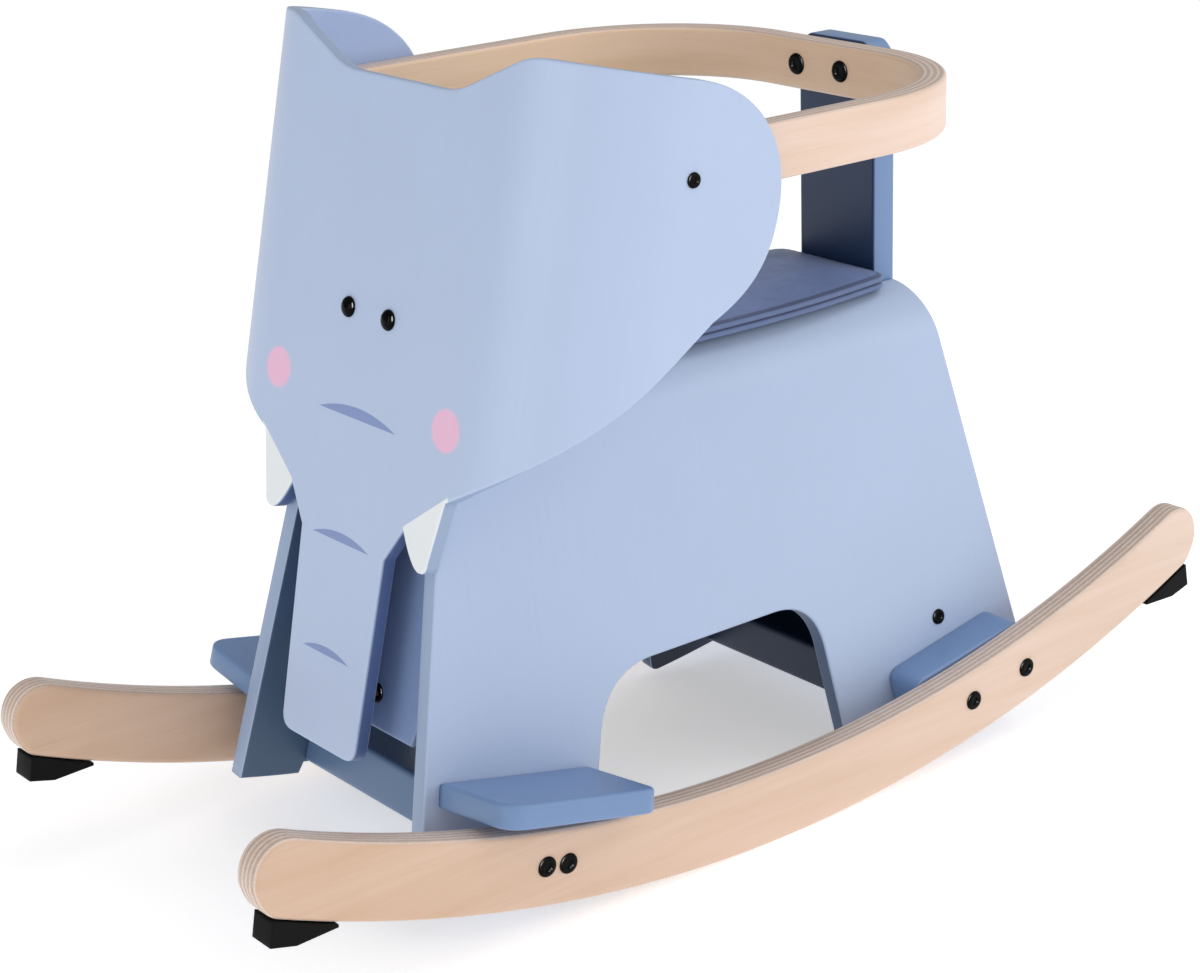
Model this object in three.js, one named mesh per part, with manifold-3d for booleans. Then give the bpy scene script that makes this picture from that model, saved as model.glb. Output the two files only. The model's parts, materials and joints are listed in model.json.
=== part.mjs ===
// A rocking elephant for a toddler: a painted bent-plywood saddle on two natural birch rockers,
// a moulded face with folded-back ears, and a laminated hoop that holds the child.
// Millimetres. +Z is up, the elephant looks along -Y and its left side is +X.
// The origin lies on the floor, midway along the rockers and midway between them.

import * as THREE from 'three';
import { mergeVertices } from 'three/addons/utils/BufferGeometryUtils.js';
import Module from 'manifold-3d';

const wasm = await Module();
wasm.setup();

// Clearances
const fitGap = 0.25;
const boreClearance = 0.3;
const overrun = 12;

// Rockers: two vertical boards, each with a rolling lower edge and a hollow upper edge
const rockerSpread = 29.6;
const rockerThickness = 15;
const rockerBottomRadius = 733;
const rockerTopRadius = 715;
const rockerDepth = 38.4;
const rockerHalfLength = 307.5;
const rockerTreadInset = 9.5;
const rockerTopInset = 23.5;
const rockerNoseRise = 16.7;
const rockerChinRise = 5.2;
const rockerChinInset = 2;

// Rubber stops under the four rocker ends
const stopInnerInset = 40.2;
const stopHeelInset = 18.5;
const stopFrontInset = 7.7;
const stopToeInset = 5.4;
const stopHeelDrop = 11.8;
const stopToeDrop = 12.2;

// Saddle: one bent shell, seat on top and two splayed side panels
const shellHeight = 240;
const shellThickness = 9.5;
const shellFootHalfWidth = 87.1;
const shellSplay = THREE.MathUtils.degToRad(8);
const shellBendRadius = 31;
const shellFootLift = 2.5;
const shellFrontFootY = -209.2;
const shellRearFootY = 212;
const legLean = THREE.MathUtils.degToRad(13);
const shellFrontLegDepth = 105;
const shellRearLegDepth = 133;
const rearLegFrontLean = THREE.MathUtils.degToRad(9);
const archHeight = 98.5;
const archFrontFillet = 30;
const archRearFillet = 28;
const frontFootLength = 35;
const frontFootStep = 3;
const legToeRadius = 6;

// Face: one pressed sheet with a flat front, folded back into two ears, with trunk and tusks
const faceLean = THREE.MathUtils.degToRad(12.6);
const faceThickness = 8;
const faceFootY = -217.5;
const faceFlatHalfWidth = 80;
const faceBendRadius = 60;
const trunkTipHeight = 75.5;
const trunkTipHalfWidth = 31.3;
const trunkRootHalfWidth = 34.2;
const trunkRootHeight = 176;
const trunkTipRadius = 9;
const tuskNotchHalfWidth = 46.6;
const tuskNotchHeight = 193.5;
const tuskTipHalfWidth = 62;
const tuskTipHeight = 177.5;
const tuskTipRadius = 6;
const tuskOuterHalfWidth = 75;
const tuskTopHeight = 213.5;
const crownHalfWidth = 44;
const crownDrop = 21.5;
const earTopRise = 175;
const earTopStart = 92;
const earTopEnd = 172;
const earReach = 229.5;
const earWidestDrop = 53;
const earHeelReach = 200;
const earHeelDrop = 105;
const earRoundShares = { top: 0.58, back: 0.62, heelDrop: 0.5, heelTurn: 0.6 };
const earJawShares = { upperOut: 0.76, upperUp: 0.69, lowerOut: 0.48, lowerUp: 0.31 };
const columnStep = 7;

// Hoop: a laminated strip bent into a U, level, between the ears and round the child's back
const hoopOuterHalfWidth = faceFlatHalfWidth + faceBendRadius - faceThickness - fitGap;
const hoopThickness = 12.5;
const hoopHeight = 26.7;
const hoopBottomDrop = 76.5;
const hoopCornerRadius = 92;
const hoopFrontY = -91;
const hoopEndTaper = 14;
const hoopEndTaperDepth = 4.5;

// Backrest post behind the hoop and neck post behind the face
const postHalfWidth = 28;
const postThickness = 15;
const postFrontY = 142.8;
const postTopRise = 0.8;
const postBottom = 62;
const postCornerCut = 7;
const neckPostThickness = 13.4;
const neckPostTopRise = 63.8;
const neckPostLap = 34;

// Boards that close the saddle at the front and at the back
const frontBoardThickness = 12;
const frontBoardTopDrop = 16;
const frontBoardBottom = 80.3;
const frontBoardFootHalfWidth = 45;
const frontBoardCornerRise = 38.7;
const frontBoardCornerRadius = 2.6;
const rearBoardThickness = 12;
const rearBoardTopDrop = 14;
const rearBoardLap = 5.6;

// Cross rails between the legs, and the spacer blocks between legs and rockers
const frontRailDepth = 31;
const frontRailHeight = 24;
const frontRailFrontY = -164;
const frontRailFrontBottom = 27.5;
const frontRailTilt = THREE.MathUtils.degToRad(-12);
const rearRailDepth = 80;
const rearRailHeight = 27;
const rearRailFrontY = 107;
const rearRailFrontBottom = 16.2;
const rearRailTilt = THREE.MathUtils.degToRad(9.6);
const blockCornerRadius = 7;

// Footrests: boards fixed square to the side panels, a little above the rockers
const footrestThickness = 12;
const footrestFrontY = -183.3;
const footrestFrontHeight = 75.3;
const footrestReach = 54.5;
const footrestLength = 87;
const footrestSlope = THREE.MathUtils.degToRad(12.3);
const footrestFrontRadius = 13;
const footrestRearRadius = 8;
const footrestScrewInset = 20;
const footrestScrewSpacing = 40;
const footrestScrewGrip = 24;

// Seat cushion: a thin stuffed pad with a piped seam above and below its side
const cushionRearGap = 1;
const cushionLength = 212;
const cushionRearHalfWidth = 41;
const cushionWaistHalfWidth = 49;
const cushionFrontHalfWidth = 44;
const cushionCornerRadius = 13;
const cushionSideHeight = 7.2;
const cushionCrown = 4.6;
const cushionPiping = 1.1;
const cushionSideDraw = 1.3;
const cushionBevel = 1.2;
const crownInsetShares = [0.1, 0.24, 0.45, 0.72];
const waistShare = 0.42;

// Bolts and nuts
const boltHeadRadius = 5.2;
const boltHeadHeight = 2.6;
const boltHeadEdge = 0.7;
const boltShankRadius = 3;
const hexRecessRadius = 2.6;
const hexRecessDepth = 1.7;
const eyeDomeHeight = 3.4;
const nutHeight = 4.2;
const nutWall = 2.6;
const boltSpacing = 32.4;
const frontRockerBoltYs = [-153.8, -141.4];
const rearRockerBoltYs = [129.4, 169.5];
const railGrip = 22;
const earBoltY = -76.6;
const earBoltDrop = 2;
const eyeRise = 45.2;
const panelBoltZ = 65.5;
const panelBoltGrip = 20;
const boardScrewZ = 97.1;
const boardScrewSpacing = 27.6;
const boardScrewGrip = 9;
const postScrewZs = [92, 128];

// Facets
const facetSag = 0.12;
const outlineSteps = 10;
const boreSegments = 12;
const headSegments = 16;
const cushionSegments = 44;

const splayTangent = Math.tan(shellSplay);
const earTopHeight = shellHeight + earTopRise;
const eyeHeight = shellHeight + eyeRise;
const hoopBottom = earTopHeight - hoopBottomDrop;
const hoopCentreZ = hoopBottom + hoopHeight / 2;
const earBoltZ = hoopCentreZ - earBoltDrop;
const postTop = hoopBottom + hoopHeight + postTopRise;
const neckPostTop = eyeHeight + neckPostTopRise;
const neckPostBottom = shellHeight - neckPostLap;
const frontBoardTop = shellHeight - frontBoardTopDrop;
const rearBoardTop = shellHeight - rearBoardTopDrop;
const crownHeight = earTopHeight - crownDrop;
const earWidestHeight = earTopHeight - earWidestDrop;
const earHeelHeight = earTopHeight - earHeelDrop;
const rockerTreadHalfLength = rockerHalfLength - rockerTreadInset;
const rockerTopHalfLength = rockerHalfLength - rockerTopInset;
const rockerOuterHalfWidth = shellFootHalfWidth + rockerSpread;
const rockerInnerHalfWidth = rockerOuterHalfWidth - rockerThickness;

const material = (name, colour, roughness, metalness = 0) => {
  const made = new THREE.MeshStandardMaterial({ color: colour, roughness, metalness });
  made.name = name;
  return made;
};
const palePaint = () => material('pale blue painted plywood', 0xb4c6e2, 0.42);
const deepPaint = () => material('blue painted plywood', 0x7493c2, 0.45);
const slatePaint = () => material('slate blue painted plywood', 0x5d7799, 0.5);
const birch = () => material('clear-coated birch plywood', 0xeccfae, 0.4);
const rubber = () => material('black rubber', 0x1c1c1d, 0.8);
const upholstery = () => material('slate blue upholstery', 0x5f6b8f, 0.6);
const blackSteel = () => material('black steel', 0x141415, 0.35, 0.6);

const group = new THREE.Group();

// Adds one named piece to the model.
function addPiece(name, geometry, surface) {
  const mesh = new THREE.Mesh(geometry, surface);
  mesh.name = name;
  group.add(mesh);
  return mesh;
}

// Turns a closed geometry into a solid that can be joined and cut.
function toSolid(geometry) {
  const bare = geometry.clone();
  bare.deleteAttribute('normal');
  bare.deleteAttribute('uv');
  const merged = mergeVertices(bare);
  const triangles = merged.index.array;
  const kept = [];
  for (let i = 0; i < triangles.length; i += 3) {
    const [a, b, c] = [triangles[i], triangles[i + 1], triangles[i + 2]];
    if (a !== b && b !== c && a !== c) kept.push(a, b, c);
  }
  return new wasm.Manifold(new wasm.Mesh({
    numProp: 3,
    vertProperties: new Float32Array(merged.attributes.position.array),
    triVerts: new Uint32Array(kept),
  }));
}

// Turns a solid back into a geometry.
function toGeometry(solid) {
  const mesh = solid.getMesh();
  const geometry = new THREE.BufferGeometry();
  geometry.setAttribute('position', new THREE.BufferAttribute(new Float32Array(mesh.vertProperties), 3));
  geometry.setIndex(new THREE.BufferAttribute(new Uint32Array(mesh.triVerts), 1));
  geometry.computeVertexNormals();
  return geometry;
}

// Takes each cutter away from a solid.
const cutAll = (solid, cutters) => cutters.reduce((left, cutter) => left.subtract(cutter), solid);

// Redraws an outline in straight facets, finer where the curve is tighter. An arc gets an odd
// number of facets, so that the rockers stand on a level one.
function facetted(path) {
  const points = [];
  for (const curve of path.curves) {
    let count = 1;
    if (curve.isEllipseCurve) {
      const turn = Math.abs(curve.aEndAngle - curve.aStartAngle);
      count = 1 + 2 * Math.ceil(turn / Math.acos(1 - facetSag / curve.xRadius) / 4);
    } else if (curve.isQuadraticBezierCurve) {
      const bow = curve.v0.clone().add(curve.v2).addScaledVector(curve.v1, -2).length();
      count = Math.max(2, Math.ceil(Math.sqrt(bow / facetSag) / 2));
    }
    points.push(...curve.getPoints(count).slice(1));
  }
  return new THREE.Shape(points);
}

// Extrudes an outline along a direction, its own axes laid along two others.
function extruded(path, length, across, up, along) {
  const geometry = new THREE.ExtrudeGeometry(facetted(path), { depth: length, bevelEnabled: false });
  geometry.applyMatrix4(new THREE.Matrix4().makeBasis(across, up, along));
  return geometry;
}

const unitX = new THREE.Vector3(1, 0, 0);
const unitY = new THREE.Vector3(0, 1, 0);
const unitZ = new THREE.Vector3(0, 0, 1);

// Extrudes an outline drawn in (y, z) across the width, from one x to another.
function acrossX(path, fromX, toX) {
  return extruded(path, toX - fromX, unitY, unitZ, unitX).translate(fromX, 0, 0);
}

// Extrudes an outline drawn in (x, z) along the length, from one y to another.
function alongY(path, fromY, toY) {
  return extruded(path, toY - fromY, unitX, unitZ, unitY.clone().negate()).translate(0, toY, 0);
}

// Extrudes a plan outline drawn in (x, y) upward from one z to another.
function upZ(path, fromZ, toZ) {
  return extruded(path, toZ - fromZ, unitX, unitY, unitZ).translate(0, 0, fromZ);
}

// Makes a straight-sided shape from corner points.
function polygon(points) {
  const shape = new THREE.Shape();
  points.forEach(([a, b], i) => (i === 0 ? shape.moveTo(a, b) : shape.lineTo(a, b)));
  shape.closePath();
  return shape;
}

// Makes a closed shape whose corners are rounded, each by its own radius.
function roundedPolygon(points, radii) {
  const shape = new THREE.Shape();
  const count = points.length;
  points.forEach((point, i) => {
    const corner = new THREE.Vector2(...point);
    const before = new THREE.Vector2(...points[(i + count - 1) % count]).sub(corner);
    const after = new THREE.Vector2(...points[(i + 1) % count]).sub(corner);
    const reach = Math.min(radii[i], before.length() / 2, after.length() / 2);
    const start = corner.clone().add(before.setLength(reach));
    const end = corner.clone().add(after.setLength(reach));
    if (i === 0) shape.moveTo(start.x, start.y);
    else shape.lineTo(start.x, start.y);
    if (reach > 0) shape.quadraticCurveTo(corner.x, corner.y, end.x, end.y);
  });
  shape.closePath();
  return shape;
}

// Height of the rolling edge, or of a line at some distance above it, at a place along the rocker.
const rockerBottomAt = (y, lift = 0) => (
  rockerBottomRadius - Math.sqrt((rockerBottomRadius - lift) ** 2 - y ** 2));
const rockerTopAt = (y) => rockerDepth + rockerTopRadius - Math.sqrt(rockerTopRadius ** 2 - y ** 2);

// Half-width of the saddle's outer face at a height, and of its inner face.
const shellOuterAt = (z) => shellFootHalfWidth - z * splayTangent;
const shellInnerAt = (z) => shellOuterAt(z) - shellThickness / Math.cos(shellSplay);

// Straight edges of the legs seen from the side.
const frontLegFrontY = (z) => shellFrontFootY + z * Math.tan(legLean) + fitGap;
const frontLegRearY = (z) => frontLegFrontY(z) + shellFrontLegDepth;
const rearLegRearY = (z) => shellRearFootY - z * Math.tan(legLean);
const rearLegFrontY = (z) => shellRearFootY - shellRearLegDepth - shellThickness + shellFootLift
  - z * Math.tan(rearLegFrontLean);

// A point of the pressed face. u runs across the flattened sheet, s up it and depth into it.
function facePoint(u, s, depth) {
  const bendLength = faceBendRadius * Math.PI / 2;
  const out = Math.abs(u);
  const radius = faceBendRadius - depth;
  let x = out;
  let back = depth;
  if (out > faceFlatHalfWidth + bendLength) {
    x = faceFlatHalfWidth + radius;
    back = faceBendRadius + out - faceFlatHalfWidth - bendLength;
  } else if (out > faceFlatHalfWidth) {
    const turn = (out - faceFlatHalfWidth) / faceBendRadius;
    x = faceFlatHalfWidth + radius * Math.sin(turn);
    back = faceBendRadius - radius * Math.cos(turn);
  }
  return new THREE.Vector3(
    Math.sign(u) * x,
    faceFootY + back * Math.cos(faceLean) + s * Math.sin(faceLean),
    s * Math.cos(faceLean) - back * Math.sin(faceLean));
}

// Rockers
function rockerShape() {
  const shape = new THREE.Shape();
  const bottomTurn = Math.asin(rockerTreadHalfLength / rockerBottomRadius);
  const topTurn = Math.asin(rockerTopHalfLength / rockerTopRadius);
  const topCentre = rockerDepth + rockerTopRadius;
  const heel = rockerBottomAt(rockerTreadHalfLength);
  const shoulder = rockerTopAt(rockerTopHalfLength);
  const chin = [rockerHalfLength - rockerChinInset, heel + rockerChinRise];
  shape.absarc(0, rockerBottomRadius, rockerBottomRadius,
    -Math.PI / 2 - bottomTurn, -Math.PI / 2 + bottomTurn, false);
  shape.quadraticCurveTo(chin[0], chin[1], rockerHalfLength, heel + rockerNoseRise);
  shape.quadraticCurveTo(rockerHalfLength, shoulder, rockerTopHalfLength, shoulder);
  shape.absarc(0, topCentre, rockerTopRadius, -Math.PI / 2 + topTurn, -Math.PI / 2 - topTurn, true);
  shape.quadraticCurveTo(-rockerHalfLength, shoulder, -rockerHalfLength, heel + rockerNoseRise);
  shape.quadraticCurveTo(-chin[0], chin[1], -rockerTreadHalfLength, heel);
  return shape;
}

// Rail outlines in (y, z): a slab laid along the rocker, a little tilted
function railShape(frontY, frontBottom, depth, height, tilt, radius) {
  const along = [Math.cos(tilt), Math.sin(tilt)];
  const up = [-Math.sin(tilt), Math.cos(tilt)];
  const at = (a, b) => [frontY + a * along[0] + b * up[0], frontBottom + a * along[1] + b * up[1]];
  return roundedPolygon([at(0, 0), at(depth, 0), at(depth, height), at(0, height)], [0, 0, radius, radius]);
}
const frontRailShape = (radius) => railShape(
  frontRailFrontY, frontRailFrontBottom, frontRailDepth, frontRailHeight, frontRailTilt, radius);
const rearRailShape = (radius) => railShape(
  rearRailFrontY, rearRailFrontBottom, rearRailDepth, rearRailHeight, rearRailTilt, radius);
const frontRailUnder = (y) => frontRailFrontBottom + (y - frontRailFrontY) * Math.tan(frontRailTilt);
const frontRailMid = (y) => frontRailFrontBottom + frontRailHeight / 2
  + (y - frontRailFrontY) * Math.tan(frontRailTilt);
const rearRailMid = (y) => rearRailFrontBottom + rearRailHeight / 2
  + (y - rearRailFrontY) * Math.tan(rearRailTilt);
const rockerBolts = [
  ...frontRockerBoltYs.map((y) => [y, frontRailMid(y)]),
  ...rearRockerBoltYs.map((y) => [y, rearRailMid(y)]),
];

// The saddle's cross outline in (x, z), drawn in from its outer face by a distance
function saddleOutline(inset) {
  const shape = new THREE.Shape();
  const offset = shellFootHalfWidth * Math.cos(shellSplay);
  const centreZ = shellHeight - shellBendRadius;
  const centreX = (offset - shellBendRadius - centreZ * Math.sin(shellSplay)) / Math.cos(shellSplay);
  const radius = shellBendRadius - inset;
  const footX = shellOuterAt(-overrun) - inset / Math.cos(shellSplay);
  shape.absarc(centreX, centreZ, radius, shellSplay, Math.PI / 2, false);
  shape.absarc(-centreX, centreZ, radius, Math.PI / 2, Math.PI - shellSplay, false);
  shape.lineTo(-footX, -overrun);
  shape.lineTo(footX, -overrun);
  shape.closePath();
  return shape;
}
const saddlePrism = (inset) => (
  toSolid(alongY(saddleOutline(inset), -rockerHalfLength, rockerHalfLength)));
const innerWedge = saddlePrism(shellThickness + fitGap);
const outerWedge = saddlePrism(-fitGap);

// A bore along the width
function boreX(y, z, fromX, toX, radius) {
  const bore = new THREE.CylinderGeometry(radius, radius, toX - fromX, boreSegments);
  bore.rotateZ(Math.PI / 2);
  bore.translate((fromX + toX) / 2, y, z);
  return toSolid(bore);
}
const boreRadius = boltShankRadius + boreClearance;
const rockerBores = rockerBolts.map(([y, z]) => (
  boreX(y, z, -rockerOuterHalfWidth - overrun, rockerOuterHalfWidth + overrun, boreRadius)));

// A bolt along +Z with its head's seat at zero, so that the shank hangs down
function boltGeometry(length, domed = false) {
  const top = domed ? eyeDomeHeight : boltHeadHeight;
  const profile = [new THREE.Vector2(0, -length), new THREE.Vector2(boltShankRadius, -length),
    new THREE.Vector2(boltShankRadius, 0), new THREE.Vector2(boltHeadRadius, 0)];
  if (domed) {
    const steps = 5;
    for (let i = 1; i <= steps; i += 1) {
      const turn = (Math.PI / 2) * (i / steps);
      const radius = i === steps ? 0 : boltHeadRadius * Math.cos(turn);
      profile.push(new THREE.Vector2(radius, boltHeadEdge + (top - boltHeadEdge) * Math.sin(turn)));
    }
  } else {
    profile.push(new THREE.Vector2(boltHeadRadius, top - boltHeadEdge));
    profile.push(new THREE.Vector2(boltHeadRadius - boltHeadEdge, top));
    profile.push(new THREE.Vector2(0, top));
  }
  const lathe = new THREE.LatheGeometry(profile, headSegments);
  lathe.rotateX(Math.PI / 2);
  if (domed) return toGeometry(toSolid(lathe));
  const recess = new THREE.CylinderGeometry(hexRecessRadius, hexRecessRadius, hexRecessDepth + overrun, 6);
  recess.rotateX(Math.PI / 2);
  recess.translate(0, 0, top - hexRecessDepth + (hexRecessDepth + overrun) / 2);
  return toGeometry(toSolid(lathe).subtract(toSolid(recess)));
}

// A round nut along +Z, its seat at zero, open at both ends round the shank
function nutGeometry() {
  const inner = boltShankRadius + boreClearance;
  const profile = [new THREE.Vector2(inner, 0), new THREE.Vector2(inner + nutWall, 0),
    new THREE.Vector2(inner + nutWall, nutHeight - boltHeadEdge),
    new THREE.Vector2(inner + nutWall - boltHeadEdge, nutHeight), new THREE.Vector2(inner, nutHeight)];
  profile.push(profile[0].clone());
  const lathe = new THREE.LatheGeometry(profile, headSegments);
  lathe.rotateX(Math.PI / 2);
  return lathe;
}

// Places a bolt or nut whose axis, from seat to head top, points along a direction.
function addTurned(name, geometry, seat, direction, surface) {
  const mesh = addPiece(name, geometry, surface);
  mesh.position.copy(seat);
  mesh.quaternion.setFromUnitVectors(new THREE.Vector3(0, 0, 1), direction.clone().normalize());
  return mesh;
}

// Builds a solid cutter along any line.
function boreAlong(centre, direction, length, radius) {
  const bore = new THREE.CylinderGeometry(radius, radius, length, boreSegments);
  const turn = new THREE.Quaternion().setFromUnitVectors(
    new THREE.Vector3(0, 1, 0), direction.clone().normalize());
  bore.applyQuaternion(turn);
  bore.translate(centre.x, centre.y, centre.z);
  return toSolid(bore);
}

const sides = [['left', 1], ['right', -1]];

for (const [side, sign] of sides) {
  const fromX = sign > 0 ? rockerInnerHalfWidth : -rockerOuterHalfWidth;
  const rocker = toSolid(acrossX(rockerShape(), fromX, fromX + rockerThickness));
  addPiece(`rocker_${side}`, toGeometry(cutAll(rocker, rockerBores)), birch());
}

// Rubber stops
function stopShape(direction) {
  const steps = 8;
  const shape = new THREE.Shape();
  const place = (y) => direction * y;
  const [inner, heel, front, toe] = [stopInnerInset, stopHeelInset, stopFrontInset, stopToeInset]
    .map((inset) => rockerHalfLength - inset);
  const top = (y) => rockerBottomAt(y, -fitGap);
  shape.moveTo(place(inner), top(inner));
  for (let i = 1; i <= steps; i += 1) {
    const y = inner + (front - inner) * (i / steps);
    shape.lineTo(place(y), top(y) - fitGap);
  }
  shape.lineTo(place(toe), rockerBottomAt(rockerTreadHalfLength) - stopToeDrop);
  shape.lineTo(place(heel), rockerBottomAt(heel) - stopHeelDrop);
  shape.closePath();
  return shape;
}
for (const [side, sign] of sides) {
  for (const [end, direction] of [['front', -1], ['rear', 1]]) {
    const fromX = sign > 0 ? rockerInnerHalfWidth : -rockerOuterHalfWidth;
    addPiece(`rubber_stop_${end}_${side}`,
      acrossX(stopShape(direction), fromX, fromX + rockerThickness), rubber());
  }
}

// Side outline of the saddle in (y, z): a front foot that steps up to the rail's underside, a rear
// foot cut to the rocker's curve, and an arch between
function shellProfile() {
  const nearRolling = (y) => rockerBottomAt(y, shellFootLift);
  const footAt = (edge, under) => {
    let y = edge(0);
    for (let i = 0; i < outlineSteps; i += 1) y = edge(under(y));
    return y;
  };
  const shape = new THREE.Shape();
  const foot = (fromY, toY, steps) => {
    for (let i = 1; i <= steps; i += 1) {
      const y = fromY + (toY - fromY) * (i / steps);
      shape.lineTo(y, nearRolling(y));
    }
  };
  const front = [footAt(frontLegFrontY, nearRolling), footAt(frontLegRearY, frontRailUnder)];
  const rear = [footAt(rearLegFrontY, nearRolling), footAt(rearLegRearY, nearRolling)];
  const step = front[0] + frontFootLength;
  shape.moveTo(front[0], nearRolling(front[0]));
  foot(front[0], step, outlineSteps / 2);
  shape.lineTo(step + frontFootStep, frontRailUnder(step + frontFootStep));
  shape.lineTo(front[1], frontRailUnder(front[1]));
  const lowFront = archHeight - archFrontFillet;
  const lowRear = archHeight - archRearFillet;
  shape.lineTo(frontLegRearY(lowFront), lowFront);
  shape.quadraticCurveTo(frontLegRearY(archHeight), archHeight,
    frontLegRearY(archHeight) + archFrontFillet, archHeight);
  shape.lineTo(rearLegFrontY(archHeight) - archRearFillet, archHeight);
  shape.quadraticCurveTo(rearLegFrontY(archHeight), archHeight, rearLegFrontY(lowRear), lowRear);
  const toeZ = nearRolling(rear[0]);
  shape.lineTo(rearLegFrontY(toeZ + legToeRadius), toeZ + legToeRadius);
  shape.quadraticCurveTo(rear[0], toeZ, rear[0] + legToeRadius, nearRolling(rear[0] + legToeRadius));
  foot(rear[0] + legToeRadius, rear[1], outlineSteps);
  const top = shellHeight + overrun;
  shape.lineTo(rearLegRearY(top), top);
  shape.lineTo(frontLegFrontY(top), top);
  shape.closePath();
  return shape;
}

// Neck post: a board laid on the back of the face, in the face's own lean
const faceUp = new THREE.Vector3(0, Math.sin(faceLean), Math.cos(faceLean));
const faceBack = new THREE.Vector3(0, Math.cos(faceLean), -Math.sin(faceLean));
function leaningBoard(shape, thickness, depthFromFace) {
  const geometry = extruded(shape, thickness, unitX, faceUp, faceBack.clone().negate());
  const origin = new THREE.Vector3(0, faceFootY, 0).addScaledVector(faceBack, depthFromFace + thickness);
  geometry.translate(origin.x, origin.y, origin.z);
  return geometry;
}
const leaning = (z, depth = 0) => (z + depth * Math.sin(faceLean)) / Math.cos(faceLean);
const neckDepth = faceThickness + fitGap;
const boardDepth = neckDepth + neckPostThickness + fitGap;
const neckShape = (grow) => roundedPolygon([
  [-postHalfWidth - grow, leaning(neckPostBottom, boardDepth)],
  [postHalfWidth + grow, leaning(neckPostBottom, boardDepth)],
  [postHalfWidth + grow, leaning(neckPostTop)], [-postHalfWidth - grow, leaning(neckPostTop)]],
[0, 0, postCornerCut, postCornerCut]);

const postShape = polygon([
  [-postHalfWidth, postBottom], [postHalfWidth, postBottom],
  [postHalfWidth, postTop - postCornerCut], [postHalfWidth - postCornerCut, postTop],
  [-postHalfWidth + postCornerCut, postTop], [-postHalfWidth, postTop - postCornerCut]]);

const notchShape = polygon([
  [-postHalfWidth - boreClearance, rearBoardTop], [postHalfWidth + boreClearance, rearBoardTop],
  [postHalfWidth + boreClearance, postTop], [-postHalfWidth - boreClearance, postTop]]);
const rearNotch = toSolid(alongY(notchShape, postFrontY - boreClearance, postFrontY + postThickness + overrun));
const neckCut = toSolid(leaningBoard(
  neckShape(boreClearance), neckPostThickness + boreClearance + neckDepth, 0));

// Panel bolts run square to the side panels, into the ends of the rear board.
const rearBoardMidY = postFrontY + rearBoardLap - rearBoardThickness / 2;
const panelNormal = (sign) => new THREE.Vector3(sign * Math.cos(shellSplay), 0, Math.sin(shellSplay));
const panelSeat = (sign) => new THREE.Vector3(sign * shellOuterAt(panelBoltZ), rearBoardMidY, panelBoltZ);
const panelBores = sides.map(([, sign]) => (
  boreAlong(panelSeat(sign), panelNormal(sign), 2 * panelBoltGrip + overrun, boreRadius)));

// Footrests lie square to the side panels and slope down towards the rear.
const footrestAcross = panelNormal(1);
const footrestUp = footrestAcross.clone().cross(
  new THREE.Vector3(0, Math.cos(footrestSlope), -Math.sin(footrestSlope))).normalize();
const footrestBack = footrestUp.clone().cross(footrestAcross);
const footrestPoint = (out, back, down) => (
  new THREE.Vector3(shellOuterAt(footrestFrontHeight), footrestFrontY, footrestFrontHeight)
    .addScaledVector(footrestAcross, out).addScaledVector(footrestBack, back).addScaledVector(footrestUp, -down));
const footrestScrewSeat = (sign, i, out) => {
  const seat = footrestPoint(out, footrestScrewInset + i * footrestScrewSpacing, footrestThickness / 2);
  return seat.setX(sign * seat.x);
};
const footrestBores = sides.flatMap(([, sign]) => [0, 1].map((i) => (
  boreAlong(footrestScrewSeat(sign, i, 0), panelNormal(sign), 2 * footrestScrewGrip, boreRadius))));

const shellSolid = saddlePrism(0).subtract(saddlePrism(shellThickness)).intersect(
  toSolid(acrossX(shellProfile(), -rockerOuterHalfWidth, rockerOuterHalfWidth)));
addPiece('saddle_shell',
  toGeometry(cutAll(shellSolid, [rearNotch, neckCut, ...rockerBores, ...panelBores, ...footrestBores])), palePaint());

// Cross rails between the legs
for (const [name, shape] of [['front_cross_rail', frontRailShape(0)], ['rear_cross_rail', rearRailShape(0)]]) {
  const rail = toSolid(acrossX(shape, -rockerInnerHalfWidth, rockerInnerHalfWidth)).intersect(innerWedge);
  addPiece(name, toGeometry(cutAll(rail, rockerBores)), slatePaint());
}

// Spacer blocks between the legs and the rockers
for (const [side, sign] of sides) {
  for (const [end, shape] of [['front', frontRailShape(blockCornerRadius)], ['rear', rearRailShape(blockCornerRadius)]]) {
    const fromX = sign > 0 ? shellInnerAt(shellHeight) : -rockerInnerHalfWidth + fitGap;
    const toX = sign > 0 ? rockerInnerHalfWidth - fitGap : -shellInnerAt(shellHeight);
    const block = toSolid(acrossX(shape, fromX, toX)).subtract(outerWedge);
    addPiece(`spacer_block_${end}_${side}`, toGeometry(cutAll(block, rockerBores)), deepPaint());
  }
}

// A copy of a geometry reflected across the middle plane, with its faces turned right way out
function mirroredX(geometry) {
  const copy = geometry.clone();
  copy.deleteAttribute('normal');
  copy.deleteAttribute('uv');
  const merged = mergeVertices(copy);
  const points = merged.attributes.position;
  for (let i = 0; i < points.count; i += 1) points.setX(i, -points.getX(i));
  const index = merged.index.array;
  for (let i = 0; i < index.length; i += 3) {
    const kept = index[i];
    index[i] = index[i + 1];
    index[i + 1] = kept;
  }
  return merged;
}

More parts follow.
